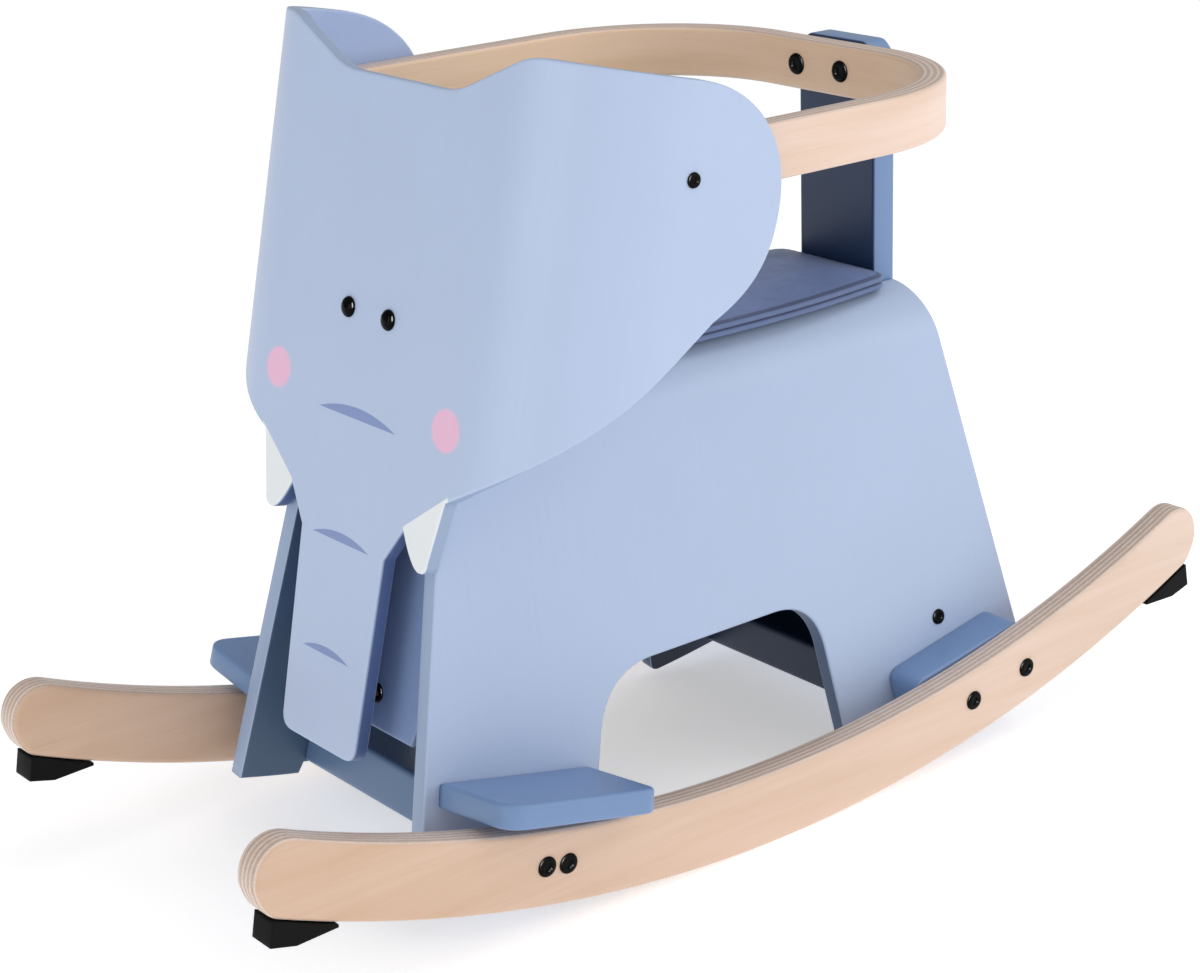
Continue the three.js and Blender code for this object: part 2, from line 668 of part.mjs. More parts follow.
// Footrests
for (const [side, sign] of sides) {
  const plan = roundedPolygon([
    [-shellThickness, 0], [footrestReach, 0],
    [footrestReach, footrestLength], [-shellThickness, footrestLength]],
  [0, footrestFrontRadius, footrestRearRadius, 0]);
  const slab = extruded(plan, footrestThickness, footrestAcross, footrestBack, footrestUp);
  const origin = footrestPoint(0, 0, footrestThickness);
  slab.translate(origin.x, origin.y, origin.z);
  const solid = toSolid(sign > 0 ? slab : mirroredX(slab)).subtract(outerWedge);
  addPiece(`footrest_${side}`, toGeometry(cutAll(solid, footrestBores)), deepPaint());
}

// Face sheet: lower and upper outline of one half, drawn on the flattened sheet
function faceOutline() {
  const lower = new THREE.Path();
  lower.moveTo(0, trunkTipHeight);
  lower.lineTo(trunkTipHalfWidth - trunkTipRadius, trunkTipHeight);
  lower.quadraticCurveTo(trunkTipHalfWidth, trunkTipHeight, trunkTipHalfWidth, trunkTipHeight + trunkTipRadius);
  lower.lineTo(trunkRootHalfWidth, trunkRootHeight);
  lower.lineTo(tuskNotchHalfWidth, tuskNotchHeight);
  lower.quadraticCurveTo(tuskTipHalfWidth - tuskTipRadius, tuskTipHeight, tuskTipHalfWidth, tuskTipHeight);
  lower.quadraticCurveTo(tuskTipHalfWidth + tuskTipRadius, tuskTipHeight,
    tuskTipHalfWidth + tuskTipRadius, tuskTipHeight + tuskTipRadius);
  lower.lineTo(tuskOuterHalfWidth, tuskTopHeight);
  const jawOut = (share) => tuskOuterHalfWidth + (earHeelReach - tuskOuterHalfWidth) * share;
  const jawUp = (share) => tuskTopHeight + (earHeelHeight - tuskTopHeight) * share;
  lower.bezierCurveTo(jawOut(earJawShares.lowerOut), jawUp(earJawShares.lowerUp),
    jawOut(earJawShares.upperOut), jawUp(earJawShares.upperUp), earHeelReach, earHeelHeight);
  const heelRise = earWidestHeight - earHeelHeight;
  lower.bezierCurveTo(
    earHeelReach + (earReach - earHeelReach) * earRoundShares.heelTurn,
    earHeelHeight + heelRise * (1 - earRoundShares.heelTurn) * earRoundShares.heelTurn,
    earReach, earWidestHeight - heelRise * earRoundShares.heelDrop, earReach, earWidestHeight);
  const upper = new THREE.Path();
  upper.moveTo(0, crownHeight);
  upper.lineTo(crownHalfWidth, crownHeight);
  upper.lineTo(earTopStart - trunkTipRadius, earTopHeight - trunkTipRadius / 2);
  upper.quadraticCurveTo(earTopStart, earTopHeight, earTopStart + trunkTipRadius, earTopHeight);
  upper.lineTo(earTopEnd, earTopHeight);
  upper.bezierCurveTo(earTopEnd + (earReach - earTopEnd) * earRoundShares.top, earTopHeight,
    earReach, earWidestHeight + (earTopHeight - earWidestHeight) * earRoundShares.back,
    earReach, earWidestHeight);
  return [lower.getPoints(outlineSteps), upper.getPoints(outlineSteps)];
}

// Reads a chain of outline points, ordered outward, at a given place across the sheet.
function readChain(chain, u) {
  for (let i = 1; i < chain.length; i += 1) {
    if (u <= chain[i].x) {
      const span = chain[i].x - chain[i - 1].x;
      const share = span > 0 ? (u - chain[i - 1].x) / span : 1;
      return chain[i - 1].y + (chain[i].y - chain[i - 1].y) * share;
    }
  }
  return chain[chain.length - 1].y;
}

// The sheet as a lofted solid: one four-cornered section per column, joined from ear to ear
function faceGeometry() {
  const [lower, upper] = faceOutline();
  const least = faceThickness / 40;
  const places = new Set();
  for (const point of [...lower, ...upper]) places.add(Math.min(point.x, earReach - least));
  for (let u = 0; u < earReach; u += columnStep) places.add(u);
  const sorted = [...places].sort((a, b) => a - b);
  const half = sorted.filter((u, i) => i === 0 || u - sorted[i - 1] > least || i === sorted.length - 1);
  const spaced = half.filter((u, i) => i === half.length - 1 || half[i + 1] - u > least);
  const columns = [...spaced.slice(1).reverse().map((u) => -u), ...spaced];
  const positions = [];
  for (const u of columns) {
    const out = Math.abs(u);
    const low = readChain(lower, out);
    const high = readChain(upper, out);
    for (const [s, depth] of [[low, 0], [high, 0], [high, faceThickness], [low, faceThickness]]) {
      const point = facePoint(u, s, depth);
      positions.push(point.x, point.y, point.z);
    }
  }
  const index = [];
  for (let i = 0; i + 1 < columns.length; i += 1) {
    for (let j = 0; j < 4; j += 1) {
      const a = 4 * i + j;
      const b = 4 * i + ((j + 1) % 4);
      const c = 4 * (i + 1) + ((j + 1) % 4);
      const d = 4 * (i + 1) + j;
      index.push(a, d, b, d, c, b);
    }
  }
  const last = 4 * (columns.length - 1);
  index.push(0, 1, 2, 0, 2, 3);
  index.push(last, last + 2, last + 1, last, last + 3, last + 2);
  const geometry = new THREE.BufferGeometry();
  geometry.setAttribute('position', new THREE.BufferAttribute(new Float32Array(positions), 3));
  geometry.setIndex(index);
  return geometry;
}

const onFace = (x, s, depth = 0) => new THREE.Vector3(x, faceFootY, 0)
  .addScaledVector(faceUp, s).addScaledVector(faceBack, depth);
const boltPairX = [boltSpacing / 2, -boltSpacing / 2];
const eyeBores = boltPairX.map((x) => boreAlong(onFace(x, eyeHeight), faceBack, 2 * boardDepth + overrun, boreRadius));
const earBores = [boreX(earBoltY, earBoltZ, -rockerOuterHalfWidth - 4 * overrun,
  rockerOuterHalfWidth + 4 * overrun, boreRadius)];
addPiece('face_panel', toGeometry(cutAll(toSolid(faceGeometry()), [...eyeBores, ...earBores])), palePaint());

addPiece('neck_post', toGeometry(cutAll(
  toSolid(leaningBoard(neckShape(0), neckPostThickness, neckDepth)), eyeBores)), slatePaint());

// Front board: fills the saddle behind the trunk, its lower corners cut away
const boardHeight = (z) => leaning(z, boardDepth);
const boardCornerZ = frontBoardBottom + frontBoardCornerRise;
const boardShape = roundedPolygon([
  [-frontBoardFootHalfWidth, boardHeight(frontBoardBottom)],
  [frontBoardFootHalfWidth, boardHeight(frontBoardBottom)],
  [shellInnerAt(boardCornerZ), boardHeight(boardCornerZ)],
  [shellOuterAt(frontBoardBottom), boardHeight(boardCornerZ)],
  [shellOuterAt(frontBoardBottom), boardHeight(frontBoardTop)],
  [-shellOuterAt(frontBoardBottom), boardHeight(frontBoardTop)],
  [-shellOuterAt(frontBoardBottom), boardHeight(boardCornerZ)],
  [-shellInnerAt(boardCornerZ), boardHeight(boardCornerZ)]],
[frontBoardCornerRadius, frontBoardCornerRadius, 0, 0, 0, 0, 0, 0]);
const screwXs = [boardScrewSpacing / 2, -boardScrewSpacing / 2];
const screwBores = screwXs.map((x) => (
  boreAlong(onFace(x, boardHeight(boardScrewZ), boardDepth), faceBack, 2 * boardScrewGrip, boreRadius)));
const frontBoard = toSolid(leaningBoard(boardShape, frontBoardThickness, boardDepth)).intersect(innerWedge);
addPiece('front_board', toGeometry(cutAll(frontBoard, screwBores)), slatePaint());

// Rear board: stands on the rear rail in front of the post, its ends cut to the splay
const railTopAt = (y) => rearRailMid(y) + rearRailHeight / 2 / Math.cos(rearRailTilt);
const rearBoardBottom = railTopAt(postFrontY + rearBoardLap) + fitGap;
const rearBoardShape = polygon([
  [-rockerInnerHalfWidth, rearBoardBottom], [rockerInnerHalfWidth, rearBoardBottom],
  [rockerInnerHalfWidth, rearBoardTop], [-rockerInnerHalfWidth, rearBoardTop]]);
const postBores = [];
for (const z of postScrewZs) {
  for (const x of boltPairX) {
    postBores.push(boreAlong(new THREE.Vector3(x, postFrontY, z), new THREE.Vector3(0, 1, 0),
      2 * (rearBoardThickness + postThickness), boreRadius));
  }
}
const postLap = toSolid(alongY(polygon([
  [-postHalfWidth - fitGap, postBottom - overrun], [postHalfWidth + fitGap, postBottom - overrun],
  [postHalfWidth + fitGap, postTop], [-postHalfWidth - fitGap, postTop]]),
postFrontY - fitGap, postFrontY + postThickness));
const rearBoard = toSolid(alongY(rearBoardShape, rearBoardMidY - rearBoardThickness / 2,
  rearBoardMidY + rearBoardThickness / 2)).intersect(innerWedge).subtract(postLap);
addPiece('rear_board', toGeometry(cutAll(rearBoard, [...postBores, ...panelBores])), slatePaint());

const hoopBores = boltPairX.map((x) => boreAlong(new THREE.Vector3(x, postFrontY, hoopCentreZ),
  new THREE.Vector3(0, 1, 0), 2 * (hoopThickness + postThickness) + overrun, boreRadius));
addPiece('backrest_post', toGeometry(cutAll(
  toSolid(alongY(postShape, postFrontY, postFrontY + postThickness)), [...hoopBores, ...postBores])), deepPaint());

// Hoop
function hoopPlan() {
  const outer = hoopOuterHalfWidth;
  const rearY = postFrontY - fitGap;
  const inner = outer - hoopThickness;
  const outerRadius = hoopCornerRadius;
  const innerRadius = hoopCornerRadius - hoopThickness;
  const centreX = outer - outerRadius;
  const centreY = rearY - outerRadius;
  const shape = new THREE.Shape();
  shape.moveTo(outer - hoopEndTaperDepth, hoopFrontY);
  shape.lineTo(outer, hoopFrontY + hoopEndTaper);
  shape.absarc(centreX, centreY, outerRadius, 0, Math.PI / 2, false);
  shape.absarc(-centreX, centreY, outerRadius, Math.PI / 2, Math.PI, false);
  shape.lineTo(-outer, hoopFrontY + hoopEndTaper);
  shape.lineTo(-outer + hoopEndTaperDepth, hoopFrontY);
  shape.lineTo(-inner, hoopFrontY);
  shape.absarc(-centreX, centreY, innerRadius, Math.PI, Math.PI / 2, true);
  shape.absarc(centreX, centreY, innerRadius, Math.PI / 2, 0, true);
  shape.lineTo(inner, hoopFrontY);
  shape.closePath();
  return shape;
}
addPiece('hoop', toGeometry(cutAll(
  toSolid(upZ(hoopPlan(), hoopBottom, hoopBottom + hoopHeight)),
  [...hoopBores, ...earBores])), birch());

// Cushion: rings of one plan outline, drawn in between the piped seams and crowned above
function cushionHalfWidth(share) {
  const rear = cushionRearHalfWidth;
  const front = cushionFrontHalfWidth;
  const middle = cushionWaistHalfWidth;
  return share < waistShare
    ? rear + (middle - rear) * Math.sin((Math.PI / 2) * (share / waistShare))
    : front + (middle - front) * Math.cos((Math.PI / 2) * ((share - waistShare) / (1 - waistShare)));
}
function cushionOutline() {
  const rearY = postFrontY - cushionRearGap;
  const points = [];
  const steps = 9;
  for (let i = 0; i <= steps; i += 1) {
    const share = i / steps;
    points.push([cushionHalfWidth(share), rearY - share * cushionLength]);
  }
  const right = points.map(([x, y]) => [x, y]);
  const left = points.map(([x, y]) => [-x, y]).reverse();
  const loop = [...right, ...left];
  const radii = loop.map(([, y]) => (
    y === rearY || y === loop[steps][1] ? cushionCornerRadius : cushionCornerRadius / 2));
  return roundedPolygon(loop.reverse(), radii).getSpacedPoints(cushionSegments).slice(0, cushionSegments);
}
function cushionGeometry() {
  const outline = cushionOutline();
  const centreY = postFrontY - cushionRearGap - cushionLength / 2;
  const bottom = shellHeight + fitGap;
  const inset = (point, distance) => {
    const i = outline.indexOf(point);
    const before = outline[(i + outline.length - 1) % outline.length];
    const after = outline[(i + 1) % outline.length];
    const normal = new THREE.Vector2(before.y - after.y, after.x - before.x).normalize();
    return point.clone().addScaledVector(normal, distance);
  };
  const rings = [];
  const ring = (distance, z) => rings.push(outline.map((point) => {
    const moved = inset(point, distance);
    return [moved.x, moved.y, z];
  }));
  const top = bottom + cushionSideHeight;
  ring(cushionPiping + cushionBevel, bottom);
  ring(cushionPiping / 2, bottom);
  ring(0, bottom + cushionPiping);
  ring(cushionPiping + cushionSideDraw / 2, bottom + 2 * cushionPiping);
  ring(cushionPiping + cushionSideDraw, (bottom + top) / 2);
  ring(cushionPiping + cushionSideDraw / 2, top - 2 * cushionPiping);
  ring(0, top - cushionPiping);
  ring(cushionPiping, top);
  for (const share of crownInsetShares) {
    rings.push(outline.map((point) => {
      const x = point.x * (1 - share);
      const y = centreY + (point.y - centreY) * (1 - share * cushionWaistHalfWidth / cushionLength * 2);
      const rise = Math.sin((Math.PI / 2) * Math.min(1, share / crownInsetShares[2]));
      return [x, y, top + cushionCrown * rise];
    }));
  }
  const positions = rings.flat(2);
  const count = outline.length;
  const index = [];
  for (let r = 0; r + 1 < rings.length; r += 1) {
    for (let i = 0; i < count; i += 1) {
      const next = (i + 1) % count;
      const a = r * count + i;
      const b = r * count + next;
      const c = (r + 1) * count + next;
      const d = (r + 1) * count + i;
      index.push(a, b, c, a, c, d);
    }
  }
  const bottomCentre = positions.length / 3;
  positions.push(0, centreY, bottom);
  const topCentre = positions.length / 3;
  positions.push(0, centreY, top + cushionCrown);
  const lastRing = (rings.length - 1) * count;
  for (let i = 0; i < count; i += 1) {
    const next = (i + 1) % count;
    index.push(bottomCentre, next, i);
    index.push(topCentre, lastRing + i, lastRing + next);
  }
  const geometry = new THREE.BufferGeometry();
  geometry.setAttribute('position', new THREE.BufferAttribute(new Float32Array(positions), 3));
  geometry.setIndex(index);
  return geometry;
}
addPiece('seat_cushion', cushionGeometry(), upholstery());

// Fasteners
const ends = [['front', frontRockerBoltYs, frontRailMid], ['rear', rearRockerBoltYs, rearRailMid]];
for (const [side, sign] of sides) {
  for (const [end, ys, mid] of ends) {
    ys.forEach((y, i) => {
      const z = mid(y);
      const length = rockerOuterHalfWidth - shellInnerAt(z) + railGrip;
      addTurned(`rocker_bolt_${end}_${side}_${i + 1}`, boltGeometry(length),
        new THREE.Vector3(sign * (rockerOuterHalfWidth + fitGap), y, z),
        new THREE.Vector3(sign, 0, 0), blackSteel());
    });
  }
  const earOuter = faceFlatHalfWidth + faceBendRadius;
  const earGrip = faceThickness + hoopThickness + 2 * fitGap;
  addTurned(`ear_bolt_${side}`, boltGeometry(earGrip + nutHeight / 2),
    new THREE.Vector3(sign * (earOuter + fitGap), earBoltY, earBoltZ),
    new THREE.Vector3(sign, 0, 0), blackSteel());
  addTurned(`ear_nut_${side}`, nutGeometry(),
    new THREE.Vector3(sign * (hoopOuterHalfWidth - hoopThickness - fitGap), earBoltY, earBoltZ),
    new THREE.Vector3(-sign, 0, 0), blackSteel());
  addTurned(`panel_bolt_${side}`, boltGeometry(panelBoltGrip),
    panelSeat(sign).addScaledVector(panelNormal(sign), fitGap), panelNormal(sign), blackSteel());
  const x = sign * boltSpacing / 2;
  addTurned(`eye_bolt_${side}`, boltGeometry(boardDepth + nutHeight / 2, true),
    onFace(x, eyeHeight, -fitGap), faceBack.clone().negate(), blackSteel());
  addTurned(`eye_nut_${side}`, nutGeometry(), onFace(x, eyeHeight, boardDepth), faceBack, blackSteel());
  const hoopRear = postFrontY - fitGap;
  addTurned(`hoop_bolt_${side}`, boltGeometry(hoopThickness + postThickness + nutHeight / 2 + fitGap),
    new THREE.Vector3(x, hoopRear - hoopThickness - fitGap, hoopCentreZ),
    new THREE.Vector3(0, -1, 0), blackSteel());
  addTurned(`hoop_nut_${side}`, nutGeometry(),
    new THREE.Vector3(x, postFrontY + postThickness + fitGap, hoopCentreZ),
    new THREE.Vector3(0, 1, 0), blackSteel());
  addTurned(`board_screw_${side}`, boltGeometry(boardScrewGrip - boreClearance),
    onFace(sign * boardScrewSpacing / 2, boardHeight(boardScrewZ), boardDepth - fitGap),
    faceBack.clone().negate(), blackSteel());
  for (const i of [0, 1]) {
    addTurned(`footrest_screw_${side}_${i + 1}`, boltGeometry(footrestScrewGrip),
      footrestScrewSeat(sign, i, -shellThickness - fitGap), panelNormal(sign).negate(), blackSteel());
  }
  postScrewZs.forEach((z, i) => {
    addTurned(`post_bolt_${side}_${i + 1}`, boltGeometry(postThickness + rearBoardThickness - rearBoardLap),
      new THREE.Vector3(x, postFrontY + postThickness + fitGap, z),
      new THREE.Vector3(0, 1, 0), blackSteel());
  });
}

export default group;
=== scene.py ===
# %% [markdown]
# # A rocking elephant, dressed piece by piece
#
# The toy is a bent plywood saddle on two birch rockers. A painted sheet with folded-back ears is
# the face, and a laminated hoop runs from ear to ear round the child's back. The solid model
# arrives as a frame of named pieces. Here each of them gets a finer surface and a finish.
# Lengths are written in millimetres, and one factor turns them into Blender's metres.

# %% Open the frame
import json
import math
import bpy
import numpy as np
from mathutils import Matrix
from mathutils.geometry import delaunay_2d_cdt

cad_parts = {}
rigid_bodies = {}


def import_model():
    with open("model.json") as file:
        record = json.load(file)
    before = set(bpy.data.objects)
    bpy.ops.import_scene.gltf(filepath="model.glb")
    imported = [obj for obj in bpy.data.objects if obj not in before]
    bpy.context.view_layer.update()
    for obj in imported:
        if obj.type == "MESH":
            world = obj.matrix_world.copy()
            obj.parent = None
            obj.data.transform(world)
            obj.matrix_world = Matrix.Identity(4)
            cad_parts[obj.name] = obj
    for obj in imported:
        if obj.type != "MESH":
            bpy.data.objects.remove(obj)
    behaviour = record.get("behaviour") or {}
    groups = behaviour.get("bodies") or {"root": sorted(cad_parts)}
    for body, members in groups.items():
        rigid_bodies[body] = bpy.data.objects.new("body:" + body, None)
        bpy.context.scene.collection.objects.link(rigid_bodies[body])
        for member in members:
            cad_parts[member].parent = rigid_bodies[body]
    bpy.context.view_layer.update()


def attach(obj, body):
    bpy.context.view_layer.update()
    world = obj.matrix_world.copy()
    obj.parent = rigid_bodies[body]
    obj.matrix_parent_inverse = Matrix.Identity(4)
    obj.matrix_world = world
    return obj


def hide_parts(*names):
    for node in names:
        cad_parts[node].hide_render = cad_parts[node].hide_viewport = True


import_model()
scene = bpy.context.scene
MM = 0.001

# %% [markdown]
# ## Camera
#
# The camera stands in front of the toy and to its left, looking down a little. Its direction is
# written as three turns: round the upright, down, and a slight roll. The columns of a rotation
# matrix are where the camera's own right, up and back point, so they are worked out one by one.

# %% Camera
def standing(right, up, back, place):
    """The matrix of an object whose own right, up and back point these ways, at this place."""
    columns = np.column_stack([right, up, back, place])
    return Matrix(np.vstack([columns, [0, 0, 0, 1]]).tolist())


yaw, pitch, roll = 0.902370604, 0.342573009, -0.0341927198
camera_place = (0.97706, -0.79617, 0.60498)
focal_length, shift_right, shift_up = 78.374, 0.00237, -0.00028
forward = np.array([-math.cos(pitch) * math.sin(yaw), math.cos(pitch) * math.cos(yaw), -math.sin(pitch)])
level_right = np.cross(forward, [0.0, 0.0, 1.0])
level_right /= np.linalg.norm(level_right)
level_up = np.cross(level_right, forward)
right = math.cos(roll) * level_right + math.sin(roll) * level_up
up = -math.sin(roll) * level_right + math.cos(roll) * level_up
camera = bpy.data.objects.new("camera", bpy.data.cameras.new("camera"))
camera.matrix_world = standing(right, up, -forward, camera_place)
camera.data.sensor_width = 36
camera.data.lens = focal_length
camera.data.shift_x, camera.data.shift_y = shift_right, shift_up
camera.data.clip_start, camera.data.clip_end = 0.01, 50
scene.collection.objects.link(camera)
scene.camera = camera
print("camera at", [round(c, 3) for c in camera.matrix_world.translation])

# %% [markdown]
# ## Floor and light
#
# The toy stands in a bright studio with a white floor. The light comes from the toy's left: the sky
# is bright on that side and dim on the other, and a wide lamp stands there too. The sky's strength
# is worked out from the direction looked at, as a share of how far it points to the bright side.
# Black steel shows only what it reflects, so one tall lamp is there for the glints alone. Light
# linking keeps it to the black steel, which is added to its list once the fasteners are made.

# %% Sky and floor
bright_side, dimmest, brightest = (0.9, 0.3, -0.1), 0.28, 0.95
FLOOR_REACH = 25.0
scene.view_settings.view_transform = "Standard"
world = bpy.data.worlds.new("pale studio")
scene.world = world
world.use_nodes = True
sky = world.node_tree.nodes["Background"]
sky.inputs["Color"].default_value = (1.0, 0.995, 0.995, 1)
direction = world.node_tree.nodes.new("ShaderNodeTexCoord")
lean = world.node_tree.nodes.new("ShaderNodeVectorMath")
lean.operation = "DOT_PRODUCT"
lean.inputs[1].default_value = bright_side
strength = world.node_tree.nodes.new("ShaderNodeMapRange")
for socket, value in (("From Min", -0.9), ("From Max", 0.9), ("To Min", dimmest), ("To Max", brightest)):
    strength.inputs[socket].default_value = value
world.node_tree.links.new(direction.outputs["Generated"], lean.inputs[0])
world.node_tree.links.new(lean.outputs["Value"], strength.inputs["Value"])
world.node_tree.links.new(strength.outputs["Result"], sky.inputs["Strength"])

floor_mesh = bpy.data.meshes.new("floor")
floor_corners = FLOOR_REACH * np.array([(-1, -1, 0), (1, -1, 0), (1, 1, 0), (-1, 1, 0)])
floor_mesh.from_pydata(floor_corners.tolist(), [], [(0, 1, 2, 3)])
floor = bpy.data.objects.new("floor", floor_mesh)
scene.collection.objects.link(floor)
print("floor reaches", FLOOR_REACH, "m each way")


# %% Lamps
def lamp(name, place, aim, wide, tall, power):
    """An area lamp at one point, its face turned towards another: its own backward direction is the
    unit vector from the aim to the lamp, and the other two are cross products with it."""
    light = bpy.data.lights.new(name, "AREA")
    light.shape = "RECTANGLE"
    light.size, light.size_y, light.energy = wide, tall, power
    holder = bpy.data.objects.new(name, light)
    away = np.array(place, float) - np.array(aim, float)
    away /= np.linalg.norm(away)
    side = np.cross([0.0, 0.0, 1.0], away)
    side /= np.linalg.norm(side)
    holder.matrix_world = standing(side, np.cross(away, side), away, place)
    scene.collection.objects.link(holder)
    return holder


lamp("side", (1.8, 1.2, 0.95), (0, 0, 0.15), 1.4, 1.2, 7)
lamp("front", (0.0, -2.6, 0.9), (0, 0, 0.2), 1.8, 1.4, 14)
lamp("top", (0.5, 0.6, 2.4), (0, 0, 0.2), 1.6, 1.6, 8.5)
glint = lamp("glint", (1.58, -1.48, 1.42), (0, -0.1, 0.25), 1.1, 1.9, 800)
glint.visible_diffuse = False

# %% [markdown]
# ## Sheets
#
# Most pieces of this toy are boards: a flat outline with a thickness, sometimes bent. So one
# helper makes them all. It works in *flat places* (u, s, depth): across the board, along it, and
# into it from its good face. Rings of points run round the edge, a lattice fills the face, and a
# function of each piece's own turns flat places into real ones. The flat place of every point is
# kept as an attribute, so grain, layers and paint marks follow the board round its bends.

# %% Outlines
def spaced(points, step):
    """A closed outline walked afresh, its corners kept and each edge cut into equal steps."""
    ends = np.roll(points, -1, axis=0)
    lengths = np.linalg.norm(ends - points, axis=1)
    counts = np.maximum(1, np.ceil(lengths / step)).astype(int)
    start = np.repeat(np.arange(len(points)), counts)
    within = np.arange(counts.sum()) - np.repeat(np.cumsum(counts) - counts, counts)
    share = (within / counts[start])[:, None]
    return points[start] * (1 - share) + ends[start] * share


def arc(centre, radius, start, end, steps=12):
    """Points on a circle between two angles in degrees: centre + radius (cos, sin)."""
    turn = np.radians(np.linspace(start, end, steps))
    return np.stack([centre[0] + radius * np.cos(turn), centre[1] + radius * np.sin(turn)], axis=1)


def curve(*controls, steps=12):
    """A Bezier curve of two or three spans' controls, without its first point."""
    t = np.linspace(0, 1, steps + 1)[1:, None]
    p = [np.array(c, float) for c in controls]
    if len(p) == 3:
        return (1 - t) ** 2 * p[0] + 2 * t * (1 - t) * p[1] + t ** 2 * p[2]
    return (1 - t) ** 3 * p[0] + 3 * t * (1 - t) ** 2 * p[1] + 3 * t ** 2 * (1 - t) * p[2] + t ** 3 * p[3]


def mirrored(half):
    """The right half of an outline, followed by its mirror image walked back."""
    half = np.asarray(half, float)
    return np.vstack([half, half[::-1] * [-1, 1]])


def rounded(corners, radii, steps=6):
    """A polygon with each corner replaced by a small Bezier bow between its two edges."""
    corners = np.array(corners, float)
    out = []
    for i, radius in enumerate(radii):
        here = corners[i]
        before, after = corners[i - 1] - here, corners[(i + 1) % len(corners)] - here
        reach = min(radius, np.linalg.norm(before) / 2, np.linalg.norm(after) / 2)
        first = here + before / np.linalg.norm(before) * reach
        last = here + after / np.linalg.norm(after) * reach
        out.append(np.vstack([first, curve(first, here, last, steps=steps)]) if reach else here[None])
    return np.vstack(out)


def drawn_in(outline, distance):
    """Each point of a closed outline moved inward, along the mean of its two edges' normals."""
    edge = np.roll(outline, -1, axis=0) - outline
    edge /= np.maximum(np.linalg.norm(edge, axis=1, keepdims=True), 1e-9)
    normal = np.stack([-edge[:, 1], edge[:, 0]], axis=1)
    before = np.roll(normal, 1, axis=0)
    spread = 1 + np.sum(normal * before, axis=1, keepdims=True)
    return outline + distance * (normal + before) / np.maximum(spread, 0.6)


def area(outline):
    """Signed area of a closed outline: half the sum of its edges' cross products."""
    nxt = np.roll(outline, -1, axis=0)
    return 0.5 * np.sum(outline[:, 0] * nxt[:, 1] - outline[:, 1] * nxt[:, 0])


def holds(outline, points):
    """Which points lie inside an outline, by counting the edges that a level ray crosses."""
    a, b = outline, np.roll(outline, -1, axis=0)
    y = points[:, 1][:, None]
    across = (a[:, 1] > y) != (b[:, 1] > y)
    rise = np.where(b[:, 1] == a[:, 1], 1e-12, b[:, 1] - a[:, 1])
    at = a[:, 0] + (y - a[:, 1]) * (b[:, 0] - a[:, 0]) / rise
    return np.sum(across & (points[:, 0][:, None] < at), axis=1) % 2 == 1


print("outline helpers ready; a test square has area", area(np.array([[0, 0], [2, 0], [2, 2], [0, 2.0]])))

# %% The sheet
def filled(outline, step):
    """Lattice points inside an outline, nearly half a step clear of it, and the triangles that join
    them all: a Delaunay mesh, which keeps away from thin ones."""
    low, high = outline.min(0), outline.max(0)
    grid = np.stack(np.meshgrid(np.arange(low[0] + step[0] / 2, high[0], step[0]),
                                np.arange(low[1] + step[1] / 2, high[1], step[1])), -1).reshape(-1, 2)
    grid = grid[holds(outline, grid)]
    if len(grid):
        reach = np.min(np.sum((grid[:, None, :] - outline[None, :, :]) ** 2, axis=2), axis=1)
        grid = grid[reach > (0.45 * min(step)) ** 2]
    points = np.vstack([outline, grid])
    ring = list(range(len(outline)))
    made = delaunay_2d_cdt(points.tolist(), [], [ring], 1, 1e-7)
    source = np.array([sources[0] for sources in made[3]])
    return grid, source[np.array(made[2])]


def solid(name, positions, faces, flat=None, smooth=True):
    """A mesh object in metres from points in millimetres. Its faces point outwards once the volume,
    summed over its triangles as (a x b) . c, is positive."""
    positions = np.asarray(positions, float)
    triangles = np.array([f[:3] for f in faces] + [(f[0], f[2], f[3]) for f in faces if len(f) == 4])
    a, b, c = (positions[triangles[:, k]] for k in range(3))
    if np.sum(np.cross(a, b) * c) < 0:
        faces = [tuple(reversed(f)) for f in faces]
    mesh = bpy.data.meshes.new(name)
    mesh.from_pydata((positions * MM).tolist(), [], faces)
    if flat is not None:
        place = mesh.attributes.new("flat", "FLOAT_VECTOR", "POINT")
        place.data.foreach_set("vector", np.asarray(flat, np.float32).ravel())
    mesh.polygons.foreach_set("use_smooth", np.full(len(mesh.polygons), smooth))
    mesh.validate()
    mesh.update()
    piece = bpy.data.objects.new(name, mesh)
    scene.collection.objects.link(piece)
    return piece


def arris_rings(thickness, arris, steps=4):
    """(inset, depth) of the rings round a board: a quarter turn at each face, straight between."""
    turn = np.radians(np.linspace(0, 90, steps))
    near = np.stack([arris * (1 - np.sin(turn)), arris * (1 - np.cos(turn))], axis=1)
    middle = [[0, thickness / 2]] if thickness > 2.2 * arris else []
    far = np.stack([near[::-1, 0], thickness - near[::-1, 1]], axis=1)
    lead = [[arris * 1.3 + 0.1, 0]]
    return np.vstack([lead, near, *([middle] if middle else []), far, [[lead[0][0], thickness]]])


